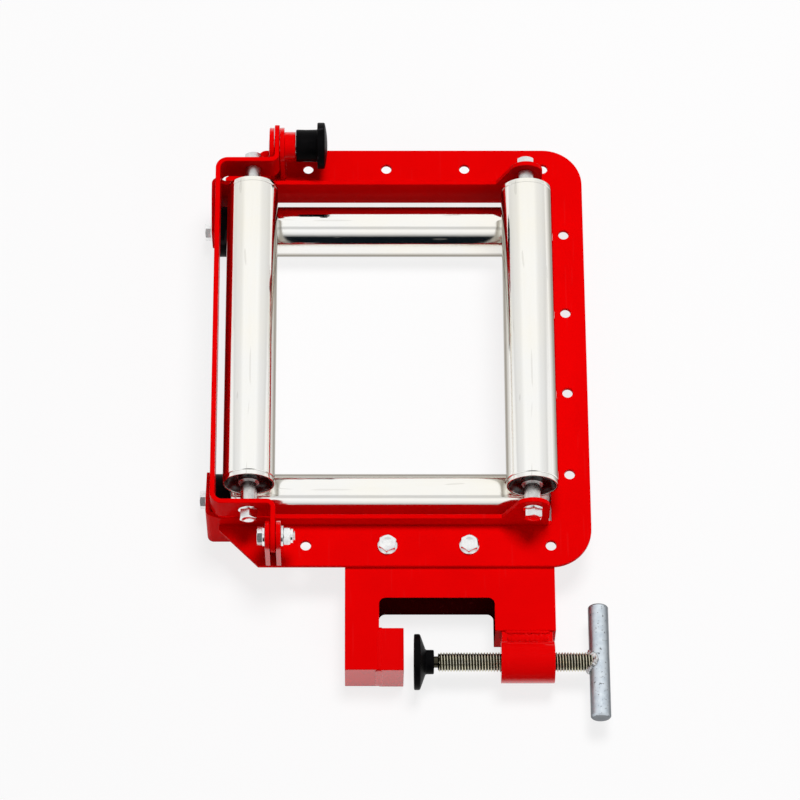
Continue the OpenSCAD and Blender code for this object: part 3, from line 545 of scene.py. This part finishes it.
def makeGalvanised():
    look = Finish("galvanised", Metallic=galvanised["metallic"])
    spangle = addNode(look.tree, "ShaderNodeTexVoronoi", {"Scale": 260.0, "Randomness": 1.0})
    look.link(look.place, spangle.inputs["Vector"])
    clouds = look.group("mottle", Scale=120.0, Contrast=1.0)
    pits = look.remap(look.noise(700.0, 3.0), 0.0, 1.0, *galvanised["pits"])
    flake = look.remap(spangle.outputs["Distance"], 0.0, 1.0, 0.0, 0.9)
    body = look.mixColour(flake, *galvanised["flakes"])
    body = look.mixColour(look.remap(clouds, 0.0, 0.6), body, galvanised["cloud"])
    body = look.mixColour(pits, body, galvanised["pit"])
    # painted shade: darker towards the limb, by its slant to the viewer
    limb = look.remap(look.slant(), 0.0, 0.85, *galvanised["limb"])
    body = look.mixColour(limb, body, galvanised["paintedLimbShade"])
    height = look.math("SUBTRACT", look.remap(clouds, 0.0, 0.6), pits)
    look.use(Base_Color=body, Roughness=look.remap(clouds, *galvanised["roughness"]),
             Normal=look.bump(height, 0.35, 0.0005))
    return look.material


blackPlastic = {
    "shine": 0.025,
    "colours": ((0.0012, 0.0012, 0.0014), (0.0035, 0.0032, 0.0036)),
    "worn": (0.035, 0.032, 0.035),
    "roughness": (0.30, 0.44),
}


def makeBlackPlastic():
    look = Finish("blackPlastic", **{"Specular IOR Level": blackPlastic["shine"]})
    clouds = look.group("mottle", Scale=90.0, Contrast=1.0)
    marks = look.group("scratches", Scale=230.0, Amount=0.5)
    worn = look.group("edgeWear", Scale=420.0, Sharpness=0.56, Amount=0.35)
    body = look.mixColour(look.remap(clouds, 0.0, 1.0), *blackPlastic["colours"])
    body = look.mixColour(look.math("MAXIMUM", marks, worn), body, blackPlastic["worn"])
    look.use(Base_Color=body, Roughness=look.remap(clouds, *blackPlastic["roughness"]),
             Normal=look.bump(look.noise(2400.0, 3.0), 0.10, 0.0002))
    return look.material


materials = {
    "red_paint": makeRedPaint("redPaint", redPaint["colours"], 1.0, 0.03),
    "thin_red": makeRedPaint("thinRedPaint", redPaint["colours"], 0.02, 0.006),
    "painted_shade_red": makeRedPaint("paintedShadeRedPaint", redPaint["paintedShadeColours"], 0.0, 0.0),
    "zinc_tube": makeZincTube(),
    "black_plastic": makeBlackPlastic(),
    "zinc_thread": makeYellowZinc(),
    "galvanised": makeGalvanised(),
}
for slotName, metal in plainMetals.items():
    materials[slotName] = makePlainMetal(metal)
print("materials ready")

# Mesh tools


def addPiece(name, mesh, body, slotName, place=None, look=None, stands=()):
    piece = bpy.data.objects.new(name, mesh)
    if place is not None:
        piece.matrix_world = place
    scene.collection.objects.link(piece)
    mesh.materials.clear()
    mesh.materials.append(materials[look or slotName])
    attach(piece, body)
    if stands:
        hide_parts(*stands)
    return piece


def bodyOf(nodeName):
    return frame["nodes"][nodeName]["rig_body"]


def standIn(nodeName, mesh, place=None, look=None):  # a finer piece in a node's place
    name = nodeName + ".finished"
    return addPiece(name, mesh, bodyOf(nodeName), slotOf[nodeName], place, look, [nodeName])


def solidBoxes(nodeName):  # low and high corner of each separate solid in a node
    mesh = frame["nodes"][nodeName].data
    keys = [tuple(vertex.co) for vertex in mesh.vertices]
    parent = {key: key for key in keys}

    def root(key):
        while parent[key] != key:
            parent[key] = parent[parent[key]]
            key = parent[key]
        return key

    for polygon in mesh.polygons:
        first = root(keys[polygon.vertices[0]])
        for index in polygon.vertices[1:]:
            parent[root(keys[index])] = first
    solids = {}
    for key in parent:
        solids.setdefault(root(key), []).append(key)
    boxes = [(Vector(map(min, *points)), Vector(map(max, *points))) for points in solids.values()]
    return sorted(boxes, key=lambda box: tuple(box[0]))


def smoothShade(mesh, angle=35):
    mesh.shade_smooth()
    mesh.set_sharp_from_angle(angle=math.radians(angle))


softening = {
    "merge": 0.002 * mm,
    "flat": 0.4,  # degrees between faces that become one
    "sharp": 32,  # degrees from which an edge is rounded
    "segments": 3,
    "weight": 100,
}


def softEdged(nodeName, edge, look=None):  # a copy of a node with its sharp edges rounded
    mesh = frame["nodes"][nodeName].data.copy()
    flat = math.radians(softening["flat"])
    build = bmesh.new()
    build.from_mesh(mesh)
    bmesh.ops.remove_doubles(build, verts=build.verts, dist=softening["merge"])
    bmesh.ops.dissolve_limit(build, angle_limit=flat, verts=build.verts, edges=build.edges)
    build.to_mesh(mesh)
    build.free()
    for name in ("custom_normal", "sharp_face", "sharp_edge"):
        if name in mesh.attributes:
            mesh.attributes.remove(mesh.attributes[name])
    mesh.shade_smooth()
    piece = standIn(nodeName, mesh, look=look)
    bevel = piece.modifiers.new("edges", "BEVEL")
    bevel.width = edge
    bevel.segments = softening["segments"]
    bevel.limit_method = "ANGLE"
    bevel.angle_limit = math.radians(softening["sharp"])
    bevel.use_clamp_overlap = False
    bevel.loop_slide = False
    even = piece.modifiers.new("evenNormals", "WEIGHTED_NORMAL")
    even.weight = softening["weight"]
    return piece


def skin(name, rings, capped=True):  # joins rings of points, each with the same count
    count = len(rings[0])
    points = [point for ring in rings for point in ring]
    faces = []
    for level in range(len(rings) - 1):
        for step in range(count):
            after = (step + 1) % count
            faces.append((level * count + step, level * count + after,
                          (level + 1) * count + after, (level + 1) * count + step))
    if capped:
        last = (len(rings) - 1) * count
        faces.append(tuple(reversed(range(count))))
        faces.append(tuple(last + step for step in range(count)))
    mesh = bpy.data.meshes.new(name)
    mesh.from_pydata(points, [], faces)
    build = bmesh.new()
    build.from_mesh(mesh)
    bmesh.ops.remove_doubles(build, verts=build.verts, dist=1e-7)
    bmesh.ops.recalc_face_normals(build, faces=build.faces)
    build.to_mesh(mesh)
    build.free()
    return mesh


def rounded(points, radius, steps=4):  # an outline with each inner corner rounded
    out = [points[0]]
    for before, here, after in zip(points, points[1:], points[2:]):
        corner = Vector(here)
        back, ahead = Vector(before) - corner, Vector(after) - corner
        reach = min(radius, back.length * 0.45, ahead.length * 0.45)
        first, last = corner + back.normalized() * reach, corner + ahead.normalized() * reach
        for step in range(steps + 1):
            t = step / steps
            out.append(tuple(first.lerp(corner, t).lerp(corner.lerp(last, t), t)))
    out.append(points[-1])
    return out


# Turns points of radius and height about Z. With hexHalf they are trimmed to a hexagon, and a third
# value in a point is the slope along which the trimmed ones rise.
def lathe(name, outline, segments=96, hexHalf=None, capped=True):
    rings = []
    for radius, height, *slope in outline:
        ring = []
        for step in range(segments):
            turn = 2 * math.pi * step / segments
            reach, lift = max(radius, 1e-7), 0
            if hexHalf:
                reach = min(reach, hexHalf / math.cos(turn % (math.pi / 3) - math.pi / 6))
                lift = slope[0] * (radius - reach) if slope else 0
            ring.append((reach * math.cos(turn), reach * math.sin(turn), height + lift))
        rings.append(ring)
    mesh = skin(name, rings, capped=capped)
    smoothShade(mesh)
    return mesh


def ringLathe(name, outline, segments=96):  # an outline that closes on itself, clear of the axis
    return lathe(name, list(outline) + [outline[0]], segments, capped=False)


def joined(name, parts):  # one mesh from pairs of mesh and matrix
    build = bmesh.new()
    for mesh, place in parts:
        piece = mesh.copy()
        piece.transform(place)
        if place.determinant() < 0:
            piece.flip_normals()
        build.from_mesh(piece)
        bpy.data.meshes.remove(piece)
    for mesh in {mesh for mesh, _ in parts}:
        bpy.data.meshes.remove(mesh)
    whole = bpy.data.meshes.new(name)
    build.to_mesh(whole)
    build.free()
    return whole


def facing(place, direction):  # puts a piece's +Z along direction
    return Matrix.Translation(place) @ Vector(direction).to_track_quat("Z", "Y").to_matrix().to_4x4()


threadForm = {"crest": 0.16, "flank": 0.64}  # shares of half a pitch


def threadedRod(name, thread, length):  # right-hand thread from z = 0 up
    radius, depth, pitch = thread["radius"], thread["depth"], thread["pitch"]
    segments = thread["segments"]
    count = max(2, round(length / pitch * thread["perPitch"]))
    rings = []
    for level in range(count + 1):
        height = length * level / count
        limit = radius - depth + min(height + thread["startLead"], length - height + thread["endLead"])
        ring = []
        for step in range(segments):
            away = abs((height / pitch - step / segments + 0.5) % 1 - 0.5) * 2
            down = min(max((away - threadForm["crest"]) / threadForm["flank"], 0), 1)
            reach = min(radius - depth * down, limit)
            turn = 2 * math.pi * step / segments
            ring.append((reach * math.cos(turn), reach * math.sin(turn), height))
        rings.append(ring)
    mesh = skin(name, rings)
    smoothShade(mesh, 50)
    return mesh


beadForm = {
    "sides": 14,
    "peak": 0.35,  # where in a ripple the bead is highest
    "finest": 700,  # scale of the grain along the bead
    "grain": 1.3,  # its share beside the ripple
    "around": 1.4,
    "taper": 10,  # the higher, the blunter the ends
    "thinnest": 0.0004,
}


def weldBead(name, path, width, height, up, ripple, seed, rough):  # rippled bead along a path
    points = [Vector(point) for point in path]
    sides, around = beadForm["sides"], beadForm["around"]
    rings = []
    travelled = 0.0
    for index, point in enumerate(points):
        before, after = points[max(index - 1, 0)], points[min(index + 1, len(points) - 1)]
        travelled += (point - before).length
        along = (after - before).normalized()
        outward = up(point) if callable(up) else Vector(up)
        side = along.cross(outward).normalized()
        outward = side.cross(along).normalized()
        share = index / (len(points) - 1)
        taper = math.sqrt(max(1 - abs(2 * share - 1) ** beadForm["taper"], beadForm["thinnest"]))
        wave = abs((travelled / ripple) % 1 - beadForm["peak"])
        ring = []
        for step in range(sides):
            turn = 2 * math.pi * step / sides
            spot = (travelled * beadForm["finest"] + seed, math.cos(turn) * around,
                    math.sin(turn) * around + seed)
            grain = noise.noise(Vector(spot))
            swell = taper * (1 + rough * (0.5 - wave) + rough * beadForm["grain"] * grain)
            ring.append(tuple(point + side * (math.cos(turn) * width * swell)
                              + outward * (math.sin(turn) * height * swell)))
        rings.append(ring)
    mesh = skin(name, rings)
    smoothShade(mesh, 60)
    return mesh


def straight(start, end):  # evenly spaced points from start to end
    count = max(3, int((Vector(end) - Vector(start)).length / (0.35 * mm)))
    return [Vector(start).lerp(Vector(end), index / count) for index in range(count + 1)]


# Painted sheet metal

sheetEdge = {
    "edge": 0.45 * mm,
    "pinEdge": 0.4 * mm,
    "thinPaint": (  # pieces with less clear coat
        "face_plate", "top_flange", "bottom_flange", "side_flange", "gate_strap", "clamp_bracket"),
}

paintedNodes = ["face_plate", "top_flange", "bottom_flange", "side_flange", "hinge_lugs", "latch_lugs",
                "latch_boss", "clamp_bracket", "clamp_jaw", "clamp_boss", "gate_strap"]
for nodeName in paintedNodes:
    softEdged(nodeName, sheetEdge["edge"], "thin_red" if nodeName in sheetEdge["thinPaint"] else None)
softEdged("latch_pin", sheetEdge["pinEdge"])

foldShade = {  # painted shade: the walls inside the clamp's notch get a near-black red
    "low": (-33 * mm, -206 * mm),
    "high": (46 * mm, -158 * mm),
    "turned": -0.3,  # a wall faces at least this much towards -X or -Y
}
bracket = bpy.data.objects["clamp_bracket.finished"]
bracket.data.materials.append(materials["painted_shade_red"])
for face in bracket.data.polygons:
    within = all(foldShade["low"][k] < face.center[k] < foldShade["high"][k] for k in (0, 1))
    if within and min(face.normal.x, face.normal.y) < foldShade["turned"]:
        face.material_index = 1
print("painted parts ready")

# Latch spring, which shortens towards the mouth of the boss as the knob is pulled: here it gets a mesh of
# its own

coil = standIn("plunger_spring", frame["nodes"]["plunger_spring"].data.copy())
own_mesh(coil)
print("latch spring ready")

# Rollers

seam = 0.01 * mm  # keeps the two ends of a closed outline apart while its corners are rounded

roller = {
    "wall": 1.5 * mm,
    "endWall": 1.15 * mm,  # of the rolled end, which closes over the cup
    "groove": (2.5 * mm, 0.8 * mm, 0.45 * mm),  # place from the end, width and depth
    "endDrop": 0.25 * mm,  # the rolled end's radius is this much smaller
    "lip": 0.9 * mm,
    "edge": 0.4 * mm,
    "fit": 0.02 * mm,  # between cup and tube
    "hole": 7.3 * mm,
    "race": 13.0 * mm,
    "dish": [  # radius and height from the roller's end, in mm
        (14.45, -0.95), (14.0, -1.5), (13.3, -2.6), (12.2, -3.9), (10.6, -4.75), (8.6, -5.1)],
    "web": (5.15 * mm, 5.8 * mm),  # depths of the dish's bottom and of its back
    "cupEnd": 13.8 * mm,
    "spindleEdge": 0.4 * mm,
    "bore": 3.0 * mm,
    "boreDepth": 14.0 * mm,
    "hubEdge": 0.35 * mm,
}


def tubeMesh(radius, length):
    half, inner = length / 2, radius - roller["wall"]
    away, wide, deep = roller["groove"]
    lip = radius - roller["endDrop"]
    end = [(radius, half - away - wide), (radius - deep, half - away - wide * 0.6),
           (radius - deep, half - away - wide * 0.4), (lip, half - away), (lip, half),
           (lip - roller["endWall"], half), (inner, half - roller["lip"])]
    below = [(across, -up) for across, up in reversed(end)]
    outline = [(inner, 0)] + below + end + [(inner, seam)]
    return ringLathe("tube", rounded(outline, roller["edge"], 5), 160)


def cupMesh(radius):
    inner = radius - roller["wall"] - roller["fit"]
    front, rear = roller["web"]
    dish = [(across * mm, down * mm) for across, down in roller["dish"]]
    hole = [(roller["hole"], -front), (roller["hole"], -rear)]
    back = [(roller["race"], -rear), (roller["race"], -roller["cupEnd"]), (inner, -roller["cupEnd"])]
    return ringLathe("cup", dish + hole + back, 128)


def spindleMesh(radius, length):
    bore, deep, edge = roller["bore"], roller["boreDepth"], roller["spindleEdge"]
    half = length / 2
    top = [(bore, half), (radius - edge, half), (radius, half - edge)]
    outline = [(0, deep - half), (bore, deep - half)] + [(across, -up) for across, up in top]
    outline += [(across, up) for across, up in reversed(top)] + [(bore, half - deep), (0, half - deep)]
    return lathe("spindle", outline, 64)


def finishRoller(side):
    low, high = solidBoxes(side + "_roller_tube")[0]
    centre, size = (low + high) / 2, high - low
    axis = Vector((1, 0, 0)) if size.x > size.y else Vector((0, 1, 0))
    length, radius = max(size), min(size) / 2
    place = facing(centre, axis)
    standIn(side + "_roller_tube", tubeMesh(radius, length), place)
    ends = [(cupMesh(radius), facing((0, 0, way * length / 2), (0, 0, way))) for way in (1, -1)]
    standIn(side + "_end_cups", joined("cups", ends), place)
    spindleLow, spindleHigh = solidBoxes(side + "_spindle")[0]
    size = spindleHigh - spindleLow
    standIn(side + "_spindle", spindleMesh(min(size) / 2, max(size)),
            facing((spindleLow + spindleHigh) / 2, axis))
    softEdged(side + "_inner_races", roller["hubEdge"])


for side in ("right", "left", "top", "bottom"):
    finishRoller(side)
print("rollers ready")

# Bolts, nuts and washers

fastener = {
    "flats": 10.0 * mm,
    "headHeight": 4.7 * mm,
    "tallHeight": 6.6 * mm,  # on the vertical spindles
    "flangeRadius": 6.25 * mm,
    "flangeHeight": 1.4 * mm,
    "dishRadius": 9.0 * mm,
    "dishEdge": 3.7 * mm,
    "slope": math.tan(math.radians(28)),
    "dishLip": 0.15 * mm,
    "rimShare": 0.95,  # of half the flats, at which a head's cone-cut rim starts
    "flangeTop": 5.0 * mm,
    "washerHole": 3.25 * mm,
    "nutHole": 2.98 * mm,
    "nutChamfer": 0.3 * mm,
    "collarRadius": 4.35 * mm,
    "collarFrom": 0.72,  # share of a lock nut's height
    "turns": (0.4, 1.1),  # of the first head, and from each head to the next
}
smallThread = {
    "radius": 3.0 * mm, "depth": 0.55 * mm, "pitch": 1.0 * mm, "segments": 36, "perPitch": 9,
    "startLead": 0.5 * mm, "endLead": 0.1 * mm}


def hexagon():  # half the flats, corner radius, radius of the cone-cut rim and its slope
    half = fastener["flats"] / 2
    return half, half / math.cos(math.pi / 6), half * fastener["rimShare"], fastener["slope"]


def hexHead(base, top):  # dished hexagon head
    half, corner, rim, slope = hexagon()
    dish, sphere = fastener["dishEdge"], fastener["dishRadius"]
    flat = math.sqrt(sphere ** 2 - dish ** 2)
    outline = [(0, base), (corner, base, 0), (corner, top - slope * (corner - rim), slope),
               (rim, top), (dish + fastener["dishLip"], top)]
    for step in range(6, -1, -1):
        across = dish * step / 6
        outline.append((across, top - (math.sqrt(sphere ** 2 - across ** 2) - flat)))
    return lathe("hexHead", outline, 96, half)


def nutMesh(height):  # lock nut
    half, corner, rim, slope = hexagon()
    hole, chamfer, collar = fastener["nutHole"], fastener["nutChamfer"], fastener["collarRadius"]
    drop, top = slope * (corner - rim), height * fastener["collarFrom"]
    outline = [(hole, chamfer), (hole + chamfer, 0), (rim, 0), (corner, drop, -slope),
               (corner, top - drop, slope), (rim, top)]
    outline += rounded([(collar, top), (collar, height), (hole, height)], 0.9 * mm, 5)
    return lathe("nut", outline + [outline[0]], 96, half, capped=False)


def washerMesh(radius, thickness):
    hole, half = fastener["washerHole"], thickness / 2
    outline = [(hole, 0), (hole, -half), (radius, -half), (radius, half), (hole, half), (hole, seam)]
    return ringLathe("washer", rounded(outline, 0.3 * mm), 72)


def boltMesh(shank, height, flanged):  # seat at z = 0, shank down
    parts = [(hexHead(0.05 * mm, height), Matrix()),
             (threadedRod("shank", smallThread, shank), Matrix.Translation((0, 0, -shank)))]
    if flanged:
        radius, thick = fastener["flangeRadius"], fastener["flangeHeight"]
        rim = [(0, 0), (radius, 0), (radius, thick * 0.55), (fastener["flangeTop"], thick), (0, thick)]
        rim = rounded(rim, 0.4 * mm)
        parts.append((lathe("flange", rim, 72), Matrix()))
    return joined("bolt", parts)


def finishBolts(nodeName, axis, centre, head=fastener["headHeight"], flanged=True):
    parts = []
    for turn, (low, high) in enumerate(solidBoxes(nodeName)):
        middle = (low + high) / 2
        outward = axis * (1 if (middle - centre).dot(axis) > 0 else -1)
        reach = abs((high - low).dot(axis)) / 2
        seat = middle + outward * (reach - head)
        first, more = fastener["turns"]
        spin = Matrix.Rotation(first + more * turn, 4, "Z")
        parts.append((boltMesh(2 * reach - head, head, flanged), facing(seat, outward) @ spin))
    standIn(nodeName, joined(nodeName, parts))


def finishRings(nodeName, axis, makeMesh):
    parts = []
    for low, high in solidBoxes(nodeName):
        size = high - low
        thickness = abs(size.dot(axis))
        radius = max(size - axis * thickness) / 2
        parts.append((makeMesh(radius, thickness), facing((low + high) / 2, axis)))
    standIn(nodeName, joined(nodeName, parts))


def nutInPlace(_, thickness):  # centred on its own middle
    return joined("nut", [(nutMesh(thickness), Matrix.Translation((0, 0, -thickness / 2)))])


for side in ("right", "left", "top", "bottom"):
    low, high = solidBoxes(side + "_roller_tube")[0]
    flat = side in ("top", "bottom")
    axis = Vector((1, 0, 0)) if flat else Vector((0, 1, 0))
    head = fastener["headHeight" if flat else "tallHeight"]
    finishBolts(side + "_axle_bolts", axis, (low + high) / 2, head)
finishBolts("clamp_bolts", Vector((0, 0, 1)), Vector((0, 0, -1)))
plainHead = fastener["headHeight"] - fastener["flangeHeight"]
finishBolts("hinge_bolt", Vector((-1, 0, 0)), Vector((1, 0, 0)), plainHead, False)
for nodeName, axis in (("clamp_washers", Vector((0, 0, 1))), ("hinge_washers", Vector((1, 0, 0)))):
    finishRings(nodeName, axis, washerMesh)
for nodeName, axis in (("clamp_nuts", Vector((0, 0, -1))), ("hinge_nut", Vector((1, 0, 0)))):
    finishRings(nodeName, axis, nutInPlace)
print("fasteners ready")

# Latch knob, spacers, clamp pad, screw and T-bar

knob = {
    "gripRadius": 10.3 * mm,
    "gripLength": 13.5 * mm,
    "waist": 0.985,  # of the grip's radius
    "domeHeight": 1.8 * mm,
    "domeAngle": 30,
    "holeRadius": 6.5 * mm,
    "holeDepth": 17.0 * mm,
    "edge": 0.9 * mm,
}
low, high = solidBoxes("pull_knob")[0]
knobLength, flangeRadius = high.x - low.x, (high.y - low.y) / 2
widest = math.radians(knob["domeAngle"])
dome = []
for step in range(26, -1, -2):
    angle = math.radians(step)
    sink = knob["domeHeight"] * (1 - math.cos(angle)) / (1 - math.cos(widest))
    dome.append((flangeRadius * math.sin(angle) / math.sin(widest), knobLength - sink))
grip, hole, gripLength = knob["gripRadius"], knob["holeRadius"], knob["gripLength"]
outline = rounded([
    (0, knob["holeDepth"]), (hole, knob["holeDepth"]), (hole, 0), (grip, 0),
    (grip * knob["waist"], gripLength * 0.5), (grip, gripLength), (flangeRadius, gripLength),
    (flangeRadius, knobLength - knob["domeHeight"]), dome[0]], knob["edge"], 5)
standIn("pull_knob", lathe("knob", outline + dome[1:], 128),
        facing((low.x, (low.y + high.y) / 2, (low.z + high.z) / 2), (1, 0, 0)))

spacer = {"bore": 5.08 * mm, "edge": 0.5 * mm}
parts = []
for low, high in solidBoxes("ear_spacers"):
    bore, half, radius = spacer["bore"], (high.x - low.x) / 2, (high.y - low.y) / 2
    outline = [(bore, 0), (bore, -half), (radius, -half), (radius, half), (bore, half), (bore, seam)]
    mesh = ringLathe("spacer", rounded(outline, spacer["edge"]), 128)
    parts.append((mesh, facing((low + high) / 2, (1, 0, 0))))
standIn("ear_spacers", joined("spacers", parts))

pad = {
    "rim": 3.6 * mm,
    "cone": 3.5 * mm,
    "hubRadius": 7.4 * mm,
    "neckHole": 3.8 * mm,
    "neckDepth": 4.5 * mm,
    "faceDish": 0.6 * mm,
    "dishEnds": (0.8, 0.86),  # shares of the pad's radius
    "edge": 0.9 * mm,
}
low, high = solidBoxes("clamp_pad")[0]
padLength, padRadius = high.x - low.x, (high.y - low.y) / 2
hub, hole, dish = pad["hubRadius"], pad["neckHole"], pad["faceDish"]
flatEnd, dishEnd = (padRadius * share for share in pad["dishEnds"])
outline = rounded([
    (0, dish), (flatEnd, dish), (dishEnd, 0), (padRadius, 0), (padRadius, pad["rim"]),
    (hub, pad["rim"] + pad["cone"]), (hub, padLength), (hole, padLength),
    (hole, padLength - pad["neckDepth"]), (0, padLength - pad["neckDepth"])], pad["edge"], 5)
screwAxis = Vector((0, (low.y + high.y) / 2, (low.z + high.z) / 2))
standIn("clamp_pad", lathe("pad", outline, 128), facing(screwAxis + Vector((low.x, 0, 0)), (1, 0, 0)))

screw = {
    "neckRadius": 3.5 * mm,
    "neckLength": 2.4 * mm,
    "ballRadius": 4.6 * mm,
    "sunk": 0.3 * mm,  # neck into the thread
    "overlap": 3.0 * mm,  # thread into the T-bar
    "thread": {
        "radius": 6.0 * mm, "depth": 1.05 * mm, "pitch": 1.75 * mm, "segments": 56, "perPitch": 14,
        "startLead": 0.0, "endLead": 2.0 * mm},
}
padEnd = high.x
low, high = solidBoxes("clamp_screw")[0]
start = padEnd + screw["neckLength"]
teeLow, teeHigh = solidBoxes("tee_bar")[0]
teeRadius = (teeHigh.x - teeLow.x) / 2
rod = threadedRod("thread", screw["thread"], teeLow.x + screw["overlap"] - start)
ball, neckEnd = screw["ballRadius"], start - low.x + screw["sunk"]
angles = [math.radians(step) for step in range(0, 130, 6)]
neck = [(ball * math.sin(angle), ball - ball * math.cos(angle)) for angle in angles]
neck += [(screw["neckRadius"], 2 * ball), (screw["neckRadius"], neckEnd), (0, neckEnd)]
parts = [(lathe("neck", neck, 48), Matrix.Translation((0, 0, low.x))),
         (rod, Matrix.Translation((0, 0, start)))]
standIn("clamp_screw", joined("screw", parts), facing(screwAxis, (1, 0, 0)))

teeBar = {"chamfer": 1.0 * mm, "edge": 0.5 * mm}
half, chamfer = (teeHigh.y - teeLow.y) / 2, teeBar["chamfer"]
outline = [(0, -half), (teeRadius - chamfer, -half), (teeRadius, -half + chamfer),
           (teeRadius, half - chamfer), (teeRadius - chamfer, half), (0, half)]
teeCentre = (teeLow + teeHigh) / 2
standIn("tee_bar", lathe("teeBar", rounded(outline, teeBar["edge"], 4), 96), facing(teeCentre, (0, 1, 0)))
print("screw and knob ready")

# Welds


# Each bead's half width and half height, the way it stands out, its ripple's length, its seed and
# its roughness
welds = {
    "bossWeld.upper": (1.3 * mm, 0.9 * mm, (0, 0, 1), 2.3 * mm, 3.0, 0.25),
    "bossWeld.lower": (2.2 * mm, 1.3 * mm, (0, -0.3, 1), 2.8 * mm, 7.0, 0.3),
    "jawWeld.inner": (2.2 * mm, 1.1 * mm, (0.3, 1, 0), 2.2 * mm, 11.0, 0.25),
    "jawWeld.top": (1.5 * mm, 0.3 * mm, (0, 0, 1), 2.6 * mm, 12.0, 0.1),
    "jawWeld.outer": (2.4 * mm, 0.4 * mm, (0, -1, 0), 2.8 * mm, 13.0, 0.12),
}


def redWeld(name, start, end, form):
    addPiece(name, weldBead(name, straight(start, end), *form), "frame", "red_paint")


bossLow, bossHigh = solidBoxes("clamp_boss")[0]
legEnd = bossHigh.y  # lower edge of the bracket's right leg
bossWeld = {"inset": 3.6 * mm, "foot": 8.06 * mm, "drop": 4.6 * mm}
left, right = bossLow.x + bossWeld["inset"], bossHigh.x - bossWeld["inset"]
foot = screwAxis.z + bossWeld["foot"]
redWeld("bossWeld.upper", (left - 1 * mm, legEnd - 0.5 * mm, foot + 0.2 * mm),
        (right + 1 * mm, legEnd - 0.5 * mm, foot + 0.2 * mm), welds["bossWeld.upper"])
redWeld("bossWeld.lower", (left, legEnd - bossWeld["drop"], foot),
        (right, legEnd - bossWeld["drop"], foot), welds["bossWeld.lower"])

jawLow, jawHigh = solidBoxes("clamp_jaw")[0]
redWeld("jawWeld.inner", (jawLow.x + 1.0 * mm, jawHigh.y - 0.2 * mm, jawLow.z + 1 * mm),
        (jawLow.x + 1.0 * mm, jawHigh.y - 0.2 * mm, jawHigh.z - 0.2 * mm), welds["jawWeld.inner"])
redWeld("jawWeld.top", (jawLow.x, jawLow.y + 1 * mm, jawHigh.z - 0.15 * mm),
        (jawLow.x, jawHigh.y - 1 * mm, jawHigh.z - 0.15 * mm), welds["jawWeld.top"])
redWeld("jawWeld.outer", (jawLow.x, jawLow.y + 0.1 * mm, jawLow.z + 1 * mm),
        (jawLow.x, jawLow.y + 0.1 * mm, jawHigh.z - 0.3 * mm), welds["jawWeld.outer"])

for lugs in ("hinge_lugs", "latch_lugs"):
    for number, (low, high) in enumerate(solidBoxes(lugs)):  # a bead on each lug's outer side
        x, outward = (high.x, 1) if number else (low.x, -1)
        form = (1.3 * mm, 1.1 * mm, (outward, 0, 1), 2.0 * mm, 17.0 + number + x * 100, 0.25)
        redWeld("lugWeld." + lugs[:5] + str(number),
                (x, low.y + 1 * mm, 0.1 * mm), (x, high.y - 1 * mm, 0.1 * mm), form)

teeBead = {"radius": 5.9 * mm, "steps": 90, "back": 0.5 * mm, "squash": 0.97, "lean": 1.2 * mm}
teeWeld = []
for step in range(teeBead["steps"] + 1):
    turn = 2 * math.pi * step / teeBead["steps"]
    across, up = teeBead["radius"] * math.cos(turn), teeBead["radius"] * math.sin(turn)
    reach = teeCentre.x - math.sqrt(max(teeRadius ** 2 - up ** 2, 0)) - teeBead["back"]
    teeWeld.append(screwAxis + Vector((reach, across, up * teeBead["squash"])))


def awayFromScrew(point):
    spread = (point - screwAxis) * Vector((0, 1, 1)) * 0.2
    return (Vector((-teeBead["lean"], 0, 0)) + spread).normalized()


mesh = weldBead("teeWeld", teeWeld, 1.5 * mm, 1.2 * mm, awayFromScrew, 1.7 * mm, 23.0, 0.5)
addPiece("teeWeld", mesh, bodyOf("tee_bar"), "galvanised", look="weld_metal")
print("welds ready")

for nodeName, node in frame["nodes"].items():
    node.data.materials.clear()
    node.data.materials.append(materials[slotOf[nodeName]])

print("pieces placed")
